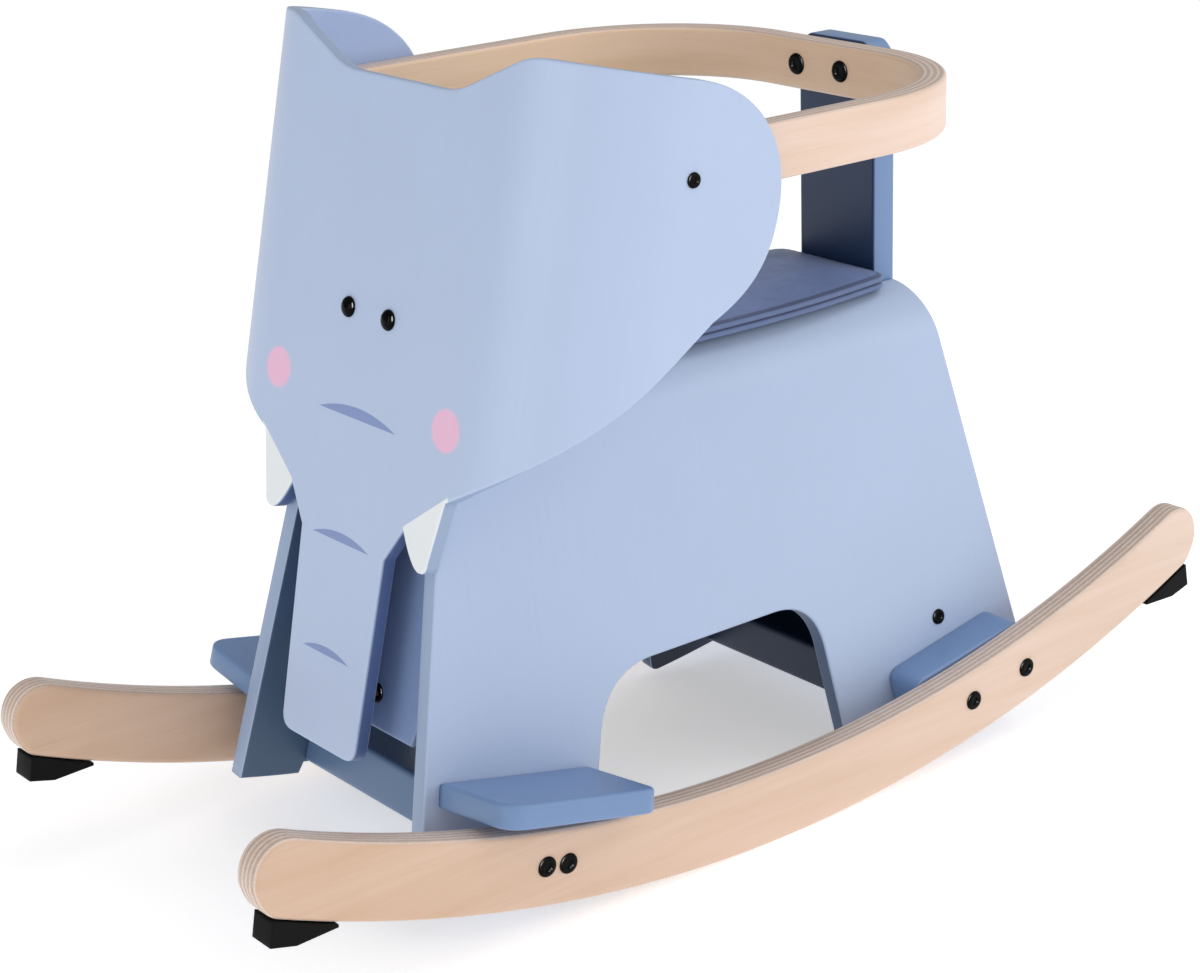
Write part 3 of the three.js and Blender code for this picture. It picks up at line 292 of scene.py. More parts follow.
def sheet(name, outline, place, thickness, arris=1.0, step=(6, 6), rings=None):
    """A board: rings round its edge, then one triangulated lattice for its face and its back."""
    outline = outline if area(outline) > 0 else outline[::-1]
    rings = arris_rings(thickness, arris) if rings is None else np.asarray(rings, float)
    band = [np.hstack([drawn_in(outline, inset), np.full((len(outline), 1), depth)])
            for inset, depth in rings]
    grid, cap = filled(band[0][:, :2], step)
    front = np.hstack([grid, np.full((len(grid), 1), rings[0][1])])
    back = np.hstack([grid, np.full((len(grid), 1), rings[-1][1])])
    flat = np.vstack([*band, front, back])
    count, levels = len(outline), len(rings)
    i = np.arange(count)
    j = (i + 1) % count
    quads = [np.stack([k * count + j, k * count + i, (k + 1) * count + i, (k + 1) * count + j], 1)
             for k in range(levels - 1)]
    front_at = np.where(cap < count, cap, cap - count + levels * count)
    back_at = np.where(cap < count, cap + (levels - 1) * count, cap - count + levels * count + len(grid))
    faces = np.vstack(quads).tolist() + front_at.tolist() + back_at[:, ::-1].tolist()
    return solid(name, place(flat[:, 0], flat[:, 1], flat[:, 2]), faces, flat)


print("sheet helper ready")

# %% [markdown]
# ## Finishes
#
# A finish is a small network of nodes round one shader. Painted plywood is never one flat colour:
# the grain shows through as faint lines, the roller leaves a fine skin, and at the sawn edges the
# layers of the wood can be made out. All of it reads the *flat place* stored on each piece, whose
# third number is the depth below the good face. So an edge is simply where the depth is between
# nought and the thickness, and the layers are stripes of depth.

# %% Finish helper
def linear(code):
    """A screen colour such as #b4c6e2 as the linear values that a shader wants."""
    parts = np.array([int(code[k:k + 2], 16) for k in (1, 3, 5)]) / 255
    return tuple(np.where(parts <= 0.04045, parts / 12.92, ((parts + 0.055) / 1.055) ** 2.4)) + (1.0,)


class Finish:
    """A material, its main shader, and short names for the nodes that feed it."""

    def __init__(self, name, roughness, **sockets):
        self.material = bpy.data.materials.new(name)
        self.material.use_nodes = True
        self.tree = self.material.node_tree
        self.shader = self.tree.nodes["Principled BSDF"]
        self.shader.inputs["Roughness"].default_value = roughness
        for socket, value in sockets.items():
            self.shader.inputs[socket.replace("_", " ")].default_value = value
        self.count = 0

    def feed(self, socket, value):
        """Links a socket to another node's output, or sets its own value; a screen colour is written
        as a string."""
        if isinstance(value, bpy.types.NodeSocket):
            self.tree.links.new(value, socket)
        else:
            socket.default_value = linear(value) if isinstance(value, str) else value

    def add(self, kind, inputs=(), out=0, **settings):
        """A node of some kind, its inputs fed by name or in order, and the one output that is wanted."""
        node = self.tree.nodes.new(kind)
        node.location = (-200 - 180 * (self.count // 6), 300 - 160 * (self.count % 6))
        self.count += 1
        for key, value in settings.items():
            setattr(node, key, value)
        for key, value in (inputs.items() if isinstance(inputs, dict) else enumerate(inputs)):
            self.feed(node.inputs[key], value)
        return node.outputs[out]

    def maths(self, operation, *values):
        """One sum on numbers, such as ADD or SINE."""
        return self.add("ShaderNodeMath", values, operation=operation)

    def all_of(self, *shares):
        """Where several shares hold at once: their product."""
        product = shares[0]
        for share in shares[1:]:
            product = self.maths("MULTIPLY", product, share)
        return product

    def flat(self):
        """The stored flat place, split into across, along and depth."""
        place = self.add("ShaderNodeAttribute", out="Vector", attribute_name="flat")
        parts = self.add("ShaderNodeSeparateXYZ", [place]).node
        return (place, *parts.outputs)

    def here(self):
        """The place on the piece itself, in metres."""
        return self.add("ShaderNodeTexCoord", out="Object")

    def scaled(self, vector, scale):
        """The same places with each direction multiplied by its own factor."""
        return self.add("ShaderNodeMapping", {"Vector": vector, "Scale": scale})

    def noise(self, vector, scale=1.0, detail=3.0, rough=0.5):
        """Smooth random values from 0 to 1; a higher scale makes them finer."""
        return self.add("ShaderNodeTexNoise",
                        {"Vector": vector, "Scale": scale, "Detail": detail, "Roughness": rough}, out="Fac")

    def between(self, value, low, high, to_low=0.0, to_high=1.0):
        """How far a value is on its way from low to high, held at both ends, then stretched to run
        from to_low to to_high."""
        return self.add("ShaderNodeMapRange", {"Value": value, "From Min": low, "From Max": high,
                                               "To Min": to_low, "To Max": to_high})

    def mix(self, share, first, second, blend="MIX"):
        """A blend of two colours: (1 - share) of the first and share of the second."""
        inputs = {0: share, 6: first, 7: second}
        return self.add("ShaderNodeMix", inputs, out=2, data_type="RGBA", blend_type=blend)

    def bump(self, height, distance, strength):
        """Tilts the surface for the light alone, as if it rose by height times distance in millimetres."""
        return self.add("ShaderNodeBump", {"Height": height, "Distance": distance * MM, "Strength": strength})

    def finish(self, colour, normal, roughness):
        """Feeds the shader its colour, relief and roughness, and gives back the material."""
        self.feed(self.shader.inputs["Base Color"], colour)
        self.feed(self.shader.inputs["Normal"], normal)
        self.feed(self.shader.inputs["Roughness"], roughness)
        return self.material


print("finish helper ready")

# %% Paint
PLY_LINE, PAINT_ROUGHNESS = 1.55, 0.36


def edge_share(f, depth, thickness):
    """1 on the sawn edge of a board and 0 on its two faces, from the depth alone."""
    return f.all_of(f.between(depth, 0.35, 1.0), f.between(f.maths("SUBTRACT", thickness, depth), 0.35, 1.0))


def toned(f, colour, tone):
    """A colour made a little lighter or darker by a factor near 1."""
    return f.add("ShaderNodeHueSaturation", {"Value": tone, "Color": colour}, out="Color")


def painted(name, screen, thickness, edge, grain=(0.5, 0.012, 0.5), marks=None, back=None, sawn_marks=None):
    """Satin paint over plywood: faint grain streaks, a fine roller skin, layers at the sawn edge, and
    if wanted another colour on the back. Marks are functions that mix more colours in."""
    f = Finish(name, PAINT_ROUGHNESS, Specular_IOR_Level=0.42)
    place, across, along, depth = f.flat()
    streak = f.noise(f.scaled(place, grain), 1.0, 4.0, 0.62)
    cloud = f.noise(place, 0.016, 2.0, 0.5)
    skin = f.noise(place, 1.3, 2.0, 0.5)
    tone = f.maths("ADD", f.between(streak, 0.3, 0.7, 0.988, 1.006),
                   f.between(cloud, 0.3, 0.7, -0.01, 0.01))
    colour = screen
    if marks:
        colour = marks(f, colour, across, along, depth)
    if back:
        colour = f.mix(f.between(depth, thickness - 0.5, thickness - 0.2), colour, back)
    layers = f.maths("SINE", f.maths("MULTIPLY", depth, 2 * math.pi / PLY_LINE))
    sawn = f.mix(f.between(layers, -0.6, 0.8), edge[0], edge[1])
    if sawn_marks:
        sawn = sawn_marks(f, sawn, across, along, depth)
    colour = f.mix(edge_share(f, depth, thickness), colour, sawn)
    relief = f.maths("ADD", f.maths("MULTIPLY", streak, 0.6), f.maths("MULTIPLY", skin, 0.5))
    return f.finish(toned(f, colour, tone), f.bump(relief, 0.02, 0.4),
                    f.between(skin, 0.3, 0.7, PAINT_ROUGHNESS - 0.04, PAINT_ROUGHNESS + 0.05))


PALE_EDGE = ("#92a5c2", "#97aac6")
DEEP_EDGE = ("#708cb5", "#718db6")
print("paint ready")

# %% [markdown]
# ## Birch
#
# Birch plywood is nearly white with a pink cast. On a face the grain is long thin lines with
# small dark flecks. On a sawn edge the sheets show one by one: those cut along the grain are
# light and smooth, those cut across it are darker and speckled, and a thin line of glue parts
# them. Where the edge is rounded, the first glue line comes out on the face as a contour.

# %% Birch
def birch(name, thickness, sheets, face, browner=None, back="#ffffff"):
    """Clear-coated birch plywood, its grain running along u and its layers stacked in depth. Towards one end,
    given as two places along u, the board may grow a little browner, and its back may be tinted warmer."""
    f = Finish(name, 0.4, Coat_Weight=0.12, Coat_Roughness=0.3, Specular_IOR_Level=0.4)
    place, across, _, depth = f.flat()
    figure = f.noise(f.scaled(place, (0.005, 0.07, 0.05)), 1.0, 3.0, 0.55)
    line = f.noise(f.scaled(place, (0.016, 1.1, 0.4)), 1.0, 5.0, 0.68)
    fleck = f.noise(f.scaled(place, (0.12, 2.6, 1.0)), 1.0, 2.0, 0.5)
    wood = f.mix(f.between(figure, 0.36, 0.66), face[0], face[1])
    wood = f.mix(f.between(line, 0.56, 0.74, 0.0, 0.3), wood, "#c49a76")
    wood = f.mix(f.between(fleck, 0.7, 0.8, 0.0, 0.35), wood, "#a97f5d")
    wood = f.mix(f.between(depth, thickness - 0.5, thickness - 0.2), wood,
                 f.mix(1.0, wood, back, "MULTIPLY"))
    if browner:
        wood = f.mix(f.between(across, *browner), wood, "#eee2d4", "MULTIPLY")
    ply = thickness / sheets
    wander = f.noise(f.scaled(place, (0.02, 0.02, 0.0)), 1.0, 2.0, 0.5)
    level = f.maths("DIVIDE", f.maths("ADD", depth, f.between(wander, 0.2, 0.8, -0.18, 0.18)), ply)
    rest = f.maths("FRACT", level)
    odd = f.maths("FLOORED_MODULO", f.maths("FLOOR", level), 2.0)
    speckle = f.noise(f.scaled(place, (0.9, 0.9, 0.9)), 1.0, 3.0, 0.7)
    end_grain = f.mix(f.between(speckle, 0.35, 0.65), "#b39d8e", "#c9b5a7")
    long_grain = f.mix(f.between(line, 0.3, 0.7), "#e4d2c6", "#d3bdae")
    sawn = f.mix(odd, long_grain, end_grain)
    glue = f.between(f.maths("ABSOLUTE", f.maths("SUBTRACT", rest, 0.5)), 0.43, 0.49)
    sawn = f.mix(f.maths("MULTIPLY", glue, 0.6), sawn, "#9a8474")
    colour = f.mix(edge_share(f, depth, thickness), wood, sawn)
    relief = f.maths("ADD", f.maths("MULTIPLY", line, 0.7), f.maths("MULTIPLY", fleck, 0.3))
    return f.finish(colour, f.bump(relief, 0.06, 0.45), f.between(line, 0.3, 0.7, 0.36, 0.46))


print("birch ready")

# %% [markdown]
# ## Putting a piece in its place
#
# Every finished piece rides on the toy's one rigid body and takes the place of a node of the solid model. A
# piece and its node share a name, so only three kinds of piece say which node they stand for.

# %% Dress
def dress(piece, material, node=None):
    """Gives a piece its finish and lets it stand for its node of the solid model. Unless another node
    is given, that is the piece's own name, with _ for a full stop, and without the .001 that Blender
    adds to a name which the solid model already uses."""
    piece.data.materials.append(material)
    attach(piece, "root")
    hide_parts(node or piece.name.removesuffix(".001").replace(".", "_"))
    return piece


SIDES = (("left", 1), ("right", -1))
FIT = 0.25
print("dress ready; pieces that meet stand", FIT, "mm apart")

# %% [markdown]
# ## Rockers
#
# Each rocker is one sawn board: its lower edge is part of a wide circle, its upper edge part of
# another, and both ends are rounded off like a ski. Only the outline has to be drawn, once, and
# the second rocker is the same board on the other side.

# %% Rockers
ROCKER_OUTER, ROCKER_THICK, ROCKER_HALF = 116.7, 15.0, 307.5
BOTTOM_R, TOP_R, ROCKER_DEPTH = 733.0, 715.0, 38.4
TREAD_HALF, TOP_HALF = ROCKER_HALF - 9.5, ROCKER_HALF - 23.5
CHIN_IN, CHIN_RISE, NOSE_RISE, CROWN_REACH = 2.0, 5.2, 16.7, 10.0


def bottom_at(y, lift=0.0):
    """Height of the rolling edge: the circle that touches the floor at the middle, or one inside it."""
    return BOTTOM_R - np.sqrt((BOTTOM_R - lift) ** 2 - np.asarray(y, float) ** 2)


def top_at(y):
    """Height of the rocker's hollow upper edge: a circle of radius TOP_R whose lowest point is
    ROCKER_DEPTH above the floor."""
    return ROCKER_DEPTH + TOP_R - np.sqrt(TOP_R ** 2 - np.asarray(y, float) ** 2)


heel, shoulder = float(bottom_at(TREAD_HALF)), float(top_at(TOP_HALF))
crest_slope = TOP_HALF / math.sqrt(TOP_R ** 2 - TOP_HALF ** 2)
tread = np.linspace(-TREAD_HALF, TREAD_HALF, 130)
crest = np.linspace(TOP_HALF, -TOP_HALF, 124)
nose_tip = (ROCKER_HALF, heel + NOSE_RISE)
nose_crown = (TOP_HALF + CROWN_REACH, shoulder + CROWN_REACH * crest_slope)
nose = np.vstack([
    curve((TREAD_HALF, heel), (ROCKER_HALF - CHIN_IN, heel + CHIN_RISE), nose_tip, steps=10),
    curve(nose_tip, (ROCKER_HALF, shoulder - 1), nose_crown, (TOP_HALF, shoulder), steps=14)[:-1]])
rocker_outline = np.vstack([
    np.stack([tread, bottom_at(tread)], 1), nose,
    np.stack([crest, top_at(crest)], 1), nose[::-1] * [-1, 1]])
birch_rocker = birch("birch rocker", ROCKER_THICK, 10, face=("#e2cbbc", "#d9bfab"), browner=(320, -260))
for side, sign in SIDES:
    rocker = sheet("rocker." + side, rocker_outline,
                   lambda u, s, d: np.stack([sign * (ROCKER_OUTER - d), u, s], 1),
                   ROCKER_THICK, arris=2.4, step=(8, 8))
    dress(rocker, birch_rocker)
    print(rocker.name, len(rocker.data.polygons), "faces")

# %% [markdown]
# ## Rubber stops
#
# A black rubber wedge is pinned under each rocker end, so that the toy cannot tip over. It is a
# small sheet whose outline follows the rolling edge above and slopes away below.

# %% Rubber stops
STOP_INNER, STOP_HEEL, STOP_FRONT, STOP_TOE = (ROCKER_HALF - inset for inset in (40.2, 18.5, 7.7, 5.4))
STOP_TAIL_DROP, STOP_HEEL_DROP, STOP_TOE_DROP = 2.0, 11.8, 12.2


def rubber():
    """Matt black rubber with a fine moulded grain."""
    f = Finish("black rubber", 0.62, Specular_IOR_Level=0.1)
    grain = f.noise(f.here(), 1800, 2.0, 0.6)
    dust = f.noise(f.here(), 60, 3.0, 0.6)
    colour = f.mix(f.between(dust, 0.4, 0.8, 0.0, 0.5), "#09090a", "#141415")
    return f.finish(colour, f.bump(grain, 0.05, 0.6), f.between(dust, 0.3, 0.7, 0.5, 0.68))


black_rubber = rubber()
under_rocker = np.linspace(STOP_INNER, STOP_FRONT, 9)
stop_outline = spaced(np.vstack([
    [[STOP_INNER, float(bottom_at(STOP_INNER)) - STOP_TAIL_DROP]],
    np.stack([under_rocker, bottom_at(under_rocker, -FIT) - FIT], 1),
    [[STOP_TOE, heel - STOP_TOE_DROP], [STOP_HEEL, float(bottom_at(STOP_HEEL)) - STOP_HEEL_DROP]]]), 2.0)
for end, along in (("front", -1), ("rear", 1)):
    for side, sign in SIDES:
        stop = sheet(f"rubber_stop.{end}.{side}", stop_outline,
                     lambda u, s, d: np.stack([sign * (ROCKER_OUTER - d), along * u, s], 1),
                     ROCKER_THICK, arris=0.35, step=(3, 3))
        dress(stop, black_rubber)
print("four rubber stops")

# %% [markdown]
# ## Saddle
#
# The seat and both side panels are one sheet of plywood, bent over a form while it was glued.
# Unrolled, it is flat: *p* runs across it from the middle of the seat down each side, and *y* along
# the toy. So the outline, with its legs and the arch between them, is drawn on the unrolled
# sheet, and one function bends it: flat on top, a turn of a circle, then a straight splayed side.

# %% Saddle bend
SADDLE_TOP, SADDLE_THICK, FOOT_HALF, BEND_R = 240.0, 9.5, 87.1, 31.0
SPLAY = math.radians(8)
bend_z = SADDLE_TOP - BEND_R
half_top = (FOOT_HALF * math.cos(SPLAY) - BEND_R - bend_z * math.sin(SPLAY)) / math.cos(SPLAY)
bend_turn = math.pi / 2 - SPLAY
bend_end = half_top + BEND_R * bend_turn


def saddle_place(p, y, depth):
    """Over |p| <= half_top the sheet is level, then it turns on a circle of radius BEND_R - depth
    through bend_turn, then it runs straight down at the splay."""
    out = np.abs(p)
    turn = np.clip((out - half_top) / BEND_R, 0, bend_turn)
    radius = BEND_R - depth
    straight = np.maximum(out - bend_end, 0)
    x = np.minimum(out, half_top) + radius * np.sin(turn) + straight * math.sin(SPLAY)
    z = bend_z + radius * np.cos(turn) - straight * math.cos(SPLAY)
    return np.stack([np.sign(p) * x, y + 0 * p, z], 1)


def shell_outer(z):
    """Half width of the saddle's outside at a height: the foot's, less height times the splay's tangent."""
    return FOOT_HALF - np.asarray(z, float) * math.tan(SPLAY)


def shell_inner(z):
    """Half width of the inside: the outside's less the sheet's thickness measured level."""
    return shell_outer(z) - SADDLE_THICK / math.cos(SPLAY)


def unrolled(z):
    """How far down the unrolled sheet its outer face reaches a height z on the straight side."""
    return bend_end + (bend_z + BEND_R * math.sin(SPLAY) - np.asarray(z, float)) / math.cos(SPLAY)


print("top is flat to", round(half_top, 1), "and bent to", round(bend_end, 1))

# %% [markdown]
# The legs' edges are straight lines that lean, so each is a place *y* worked out from a height.
# A foot ends where such an edge meets a curve: near the floor that curve is the rocker's own, and
# the front foot steps up to clear the cross rail. The two rails are slabs, each given by where it
# starts, how high, how deep and thick it is, and how it tilts.

# %% Leg lines
LEG_LEAN, REAR_LEAN, ARCH = math.tan(math.radians(13)), math.tan(math.radians(9)), 98.5
FRONT_FOOT, REAR_FOOT, FRONT_LEG, REAR_LEG, FOOT_LIFT = -209.2, 212.0, 105.0, 133.0, 2.5
RAILS = {"front": (-164, 27.5, 31, 24, -12), "rear": (107, 16.2, 80, 27, 9.6)}


def front_edge(z):
    """The front legs' front edge leans back as it rises."""
    return FRONT_FOOT + z * LEG_LEAN + FIT


def front_leg_rear(z):
    """The front legs' rear edge runs beside their front edge."""
    return front_edge(z) + FRONT_LEG


def rear_edge(z):
    """The rear legs' rear edge leans forward as it rises."""
    return REAR_FOOT - z * LEG_LEAN


def rear_leg_front(z):
    """The rear legs' front edge leans forward too, by less."""
    return REAR_FOOT - REAR_LEG - SADDLE_THICK + FOOT_LIFT - z * REAR_LEAN


def rail_line(end, share=0.0):
    """Height of a rail's underside at a place y, or of the line some share of its thickness above."""
    front, low, depth, height, tilt = RAILS[end]
    return lambda y: low + share * height + (y - front) * math.tan(math.radians(tilt))


def near_floor(y):
    """The line that the feet are cut to, a little inside the rocker's rolling edge."""
    return bottom_at(y, FOOT_LIFT)


def meets(edge, under, start=10.0):
    """Where a slanted leg edge meets the line that its foot is cut to, by stepping nearer to it."""
    z = start
    for _ in range(12):
        z = float(under(edge(z)))
    return edge(z)


rail_under = rail_line("front")
front_toe, front_heel = meets(front_edge, near_floor), meets(front_leg_rear, rail_under)
rear_toe, rear_heel = meets(rear_leg_front, near_floor), meets(rear_edge, near_floor)
print("feet end at", [round(float(y), 1) for y in (front_toe, front_heel, rear_toe, rear_heel)])

# %% Saddle outline
FOOT_LENGTH, FOOT_STEP, TOE, FRONT_BOW, REAR_BOW = 35.0, 3.0, 6.0, 30.0, 28.0
POST_SLOT_HALF, NECK_SLOT_END, POST_SLOT_END = 28.3, -141.4, 142.5
foot = np.linspace(front_toe, front_toe + FOOT_LENGTH, 10)
step_up = foot[-1] + FOOT_STEP
back_foot = np.linspace(rear_toe + TOE, rear_heel, 36)
toe_z = float(near_floor(rear_toe))
front_bow_low, rear_bow_low = ARCH - FRONT_BOW, ARCH - REAR_BOW
leg_line = np.vstack([
    np.stack([foot, near_floor(foot)], 1),
    [[step_up, rail_under(step_up)], [front_heel, rail_under(front_heel)]],
    [[front_leg_rear(front_bow_low), front_bow_low]],
    curve((front_leg_rear(front_bow_low), front_bow_low), (front_leg_rear(ARCH), ARCH),
          (front_leg_rear(ARCH) + FRONT_BOW, ARCH)),
    [[rear_leg_front(ARCH) - REAR_BOW, ARCH]],
    curve((rear_leg_front(ARCH) - REAR_BOW, ARCH), (rear_leg_front(ARCH), ARCH),
          (rear_leg_front(rear_bow_low), rear_bow_low)),
    [[rear_leg_front(toe_z + TOE), toe_z + TOE]],
    curve((rear_leg_front(toe_z + TOE), toe_z + TOE), (rear_toe, toe_z),
          (rear_toe + TOE, float(near_floor(rear_toe + TOE)))),
    np.stack([back_foot[1:], near_floor(back_foot[1:])], 1)])
half_side = np.stack([unrolled(leg_line[:, 1]), leg_line[:, 0]], 1)
bend_walk = np.linspace(POST_SLOT_HALF, bend_end, 18)
bend_height = saddle_place(bend_walk, 0 * bend_walk, 0 * bend_walk)[:, 2]
half_saddle = np.vstack([
    [[POST_SLOT_HALF, NECK_SLOT_END]], np.stack([bend_walk, front_edge(bend_height)], 1), half_side,
    np.stack([bend_walk, rear_edge(bend_height)], 1)[::-1], [[POST_SLOT_HALF, POST_SLOT_END]]])
saddle_outline = spaced(mirrored(half_saddle), 4.0)
print("saddle outline of", len(saddle_outline), "points,", round(2 * half_side[:, 0].max()), "mm across")

# %% [markdown]
# The saddle is pale blue outside. Inside it is painted with shade: slate blue, darkest in the middle, and a
# dark painted shade also covers a part of the arch's sawn edge. Both are marks: colours that are mixed in
# where the flat place says so.

# %% Saddle sheet
def saddle_inside_painted_shade(f, colour, across, along, depth):
    """Painted shade on the underside: slate blue, darkest in the middle, where the inside of the saddle lies
    deepest in shade.
    """
    middle = f.all_of(f.between(along, -150, -60), f.between(along, 150, 100))
    inside = f.mix(middle, "#4b617b", "#17263f")
    return f.mix(f.between(depth, SADDLE_THICK - 0.5, SADDLE_THICK - 0.2), colour, inside)


def arch_edge_painted_shade(f, sawn, across, along, depth):
    """Painted shade on the sawn edge of the arch's rear side: a dark slate blue."""
    share = f.all_of(f.between(along, 30, 40), f.between(along, 100, 90), f.between(depth, 0.9, 1.5))
    return f.mix(share, sawn, "#4c6080")


# The saddle's inside and the rear side of its arch carry painted shade.
pale_saddle = painted("pale blue saddle paint", "#acbdd9", SADDLE_THICK, PALE_EDGE, grain=(0.012, 0.5, 0.5),
                      marks=saddle_inside_painted_shade, sawn_marks=arch_edge_painted_shade)
saddle = sheet("saddle", saddle_outline, saddle_place, SADDLE_THICK, arris=1.1, step=(4, 7))
dress(saddle, pale_saddle, node="saddle_shell")
print("saddle", len(saddle.data.polygons), "faces")

# %% [markdown]
# ## Face
#
# The face is pressed from one sheet too: flat in front, turned back through a quarter circle on
# each side, and straight again where the ears lie beside the child. The sheet leans back. Its
# outline is drawn flat, u across and s up: the trunk, a notch, a tusk, the long sweep of the jaw,
# the ear, and the dip of the crown. Its main points have names; the other pairs are the handles
# that pull the curves between them.

# %% Face bend
FACE_THICK, FACE_FOOT, FACE_FLAT, FACE_BEND = 8.0, -217.5, 80.0, 60.0
LEAN = math.radians(12.6)


def face_place(u, s, depth):
    """Flat to FACE_FLAT, then a quarter circle of radius FACE_BEND - depth, then straight back;
    the whole leans by LEAN about the line where it would meet the floor."""
    out = np.abs(u)
    turn = np.clip((out - FACE_FLAT) / FACE_BEND, 0, math.pi / 2)
    radius = FACE_BEND - depth
    straight = np.maximum(out - FACE_FLAT - FACE_BEND * math.pi / 2, 0)
    x = np.minimum(out, FACE_FLAT) + radius * np.sin(turn)
    back = FACE_BEND - radius * np.cos(turn) + straight
    return np.stack([np.sign(u) * x, FACE_FOOT + back * math.cos(LEAN) + s * math.sin(LEAN),
                     s * math.cos(LEAN) - back * math.sin(LEAN)], 1)


print("sheet turns back over", round(FACE_BEND * math.pi / 2, 1), "mm on each side")

# %% Face outline
TRUNK_END, TRUNK_HALF, TRUNK_CORNER = 75.5, 31.3, 9.0
TUSK_TIP, TUSK_TIP_HALF, TUSK_CORNER, EAR_TOP, CROWN_LOW = 177.5, 62.0, 6.0, 415.0, 393.5
trunk_root, notch, tusk_top = (34.2, 176), (46.6, 193.5), (75, 213.5)
ear_heel, ear_widest, ear_peak = (200, 310), (229.5, 362), (172, EAR_TOP)
ear_start, brow = (101, EAR_TOP), (54, 397.86)
half_face = np.vstack([
    [[0, TRUNK_END], [TRUNK_HALF - TRUNK_CORNER, TRUNK_END]],
    curve((TRUNK_HALF - TRUNK_CORNER, TRUNK_END), (TRUNK_HALF, TRUNK_END),
          (TRUNK_HALF, TRUNK_END + TRUNK_CORNER), steps=8),
    [trunk_root, notch],
    curve(notch, (TUSK_TIP_HALF - TUSK_CORNER, TUSK_TIP), (TUSK_TIP_HALF, TUSK_TIP), steps=8),
    curve((TUSK_TIP_HALF, TUSK_TIP), (TUSK_TIP_HALF + TUSK_CORNER, TUSK_TIP),
          (TUSK_TIP_HALF + TUSK_CORNER, TUSK_TIP + TUSK_CORNER), steps=6),
    [tusk_top],
    curve(tusk_top, (135, 243.415), (170, 280.085), ear_heel, steps=30),
    curve(ear_heel, (217.7, 322.48), (229.5, 336), ear_widest, steps=18),
    curve(ear_widest, (229.5, 394.86), (205.35, EAR_TOP), ear_peak, steps=24),
    [ear_start],
    curve(ear_start, (92, EAR_TOP), (83, 410.5), steps=6),
    [brow], curve(brow, (44, CROWN_LOW), (33, CROWN_LOW), steps=8), [[0, CROWN_LOW]]])
face_outline = spaced(np.vstack([half_face[:-1], half_face[:0:-1] * [-1, 1]]), 4.0)
print("face outline of", len(face_outline), "points, area", round(abs(area(face_outline))), "square mm")

# %% [markdown]
# The marks on the face are paint, so they live in the finish and not in the shape. Two round cheeks are the
# places where a circle's formula is under one. Each crease of the trunk is the space between a straight line
# and a low bow above it. The tusks are all that lies below a slanting line outside the trunk, on the front
# face only. The deep blue on the trunk's sawn edge is painted shade.

# %% Face paint
CREASES = ((0.5, 31.5, 235.0, 5.4), (-0.5, 23.5, 175.6, 4.4), (-1.5, 19.5, 120.0, 3.8))
CHEEK_OUT, CHEEK_UP, CHEEK_HALF, CHEEK_RISE = 68.9, 245.4, 10.4, 9.9
TUSK_LINE, TUSK_SLOPE, TUSK_INNER, TUSK_OUTER = 195.6, 0.7007, 46.4, 77.3


def crease_shares(f, across, along):
    """For each crease, 1 between its straight line and a bow over it: rise times (1 - place squared),
    where place runs from -1 to 1 along the line."""
    for middle, half, height, rise in CREASES:
        place = f.maths("DIVIDE", f.maths("SUBTRACT", across, middle), half)
        bow = f.maths("MULTIPLY", f.maths("SUBTRACT", 1.0, f.maths("MULTIPLY", place, place)), rise)
        above = f.maths("SUBTRACT", along, height)
        yield f.all_of(f.between(above, -0.15, 0.15), f.between(f.maths("SUBTRACT", bow, above), -0.15, 0.15))


def face_marks(f, colour, across, along, depth):
    """Creases, cheeks and tusks, mixed over the paint one after another. A cheek is where the root of
    dx squared + dy squared is under 1, and a tusk is what lies under a slanting line."""
    for share in crease_shares(f, across, along):
        colour = f.mix(share, colour, "#7e91c0")
    out = f.maths("ABSOLUTE", across)
    dx = f.maths("DIVIDE", f.maths("SUBTRACT", out, CHEEK_OUT), CHEEK_HALF)
    dy = f.maths("DIVIDE", f.maths("SUBTRACT", along, CHEEK_UP), CHEEK_RISE)
    ring = f.maths("SQRT", f.maths("ADD", f.maths("MULTIPLY", dx, dx), f.maths("MULTIPLY", dy, dy)))
    colour = f.mix(f.between(ring, 1.07, 0.92), colour, "#e5b8d2")
    line = f.maths("MULTIPLY_ADD", f.maths("SUBTRACT", out, notch[0]), TUSK_SLOPE, TUSK_LINE)
    tusk = f.all_of(
        f.between(f.maths("SUBTRACT", line, along), -0.15, 0.15), f.between(depth, 0.7, 0.4),
        f.between(out, TUSK_INNER, TUSK_INNER + 0.5), f.between(out, TUSK_OUTER, TUSK_OUTER - 0.6))
    return f.mix(tusk, colour, "#e4e9ec")


def trunk_edge_painted_shade(f, sawn, across, along, depth):
    """Painted shade: the sawn edge is darkened to deep blue from the trunk's end to the tips of the tusks,
    behind a pale arris.
    """
    share = f.all_of(
        f.between(f.maths("ABSOLUTE", across), TUSK_TIP_HALF + 0.4, TUSK_TIP_HALF - 0.4),
        f.between(depth, 1.2, 1.7), f.between(along, tusk_top[1] + 1.5, tusk_top[1] - 0.5))
    return f.mix(share, sawn, "#54699a")


# The deep blue on the trunk's sawn edge is painted shade.
pale_face = painted("pale blue face paint", "#b2c2de", FACE_THICK, PALE_EDGE,
                    marks=face_marks, back="#a6b9dd", sawn_marks=trunk_edge_painted_shade)
face = sheet("face", face_outline, face_place, FACE_THICK, arris=1.1, step=(3.2, 7))
dress(face, pale_face, node="face_panel")
print("face", len(face.data.polygons), "faces")

# %% [markdown]
# ## Hoop
#
# The hoop is a strip of thin birch layers glued round a former. Unrolled it is a plain slat, so it
# is made as one more sheet: u runs along the strip, s up it, and its bend follows a straight arm,
# a corner, the back, a corner, and the other arm. Its ends thin out where they slip behind the ears.

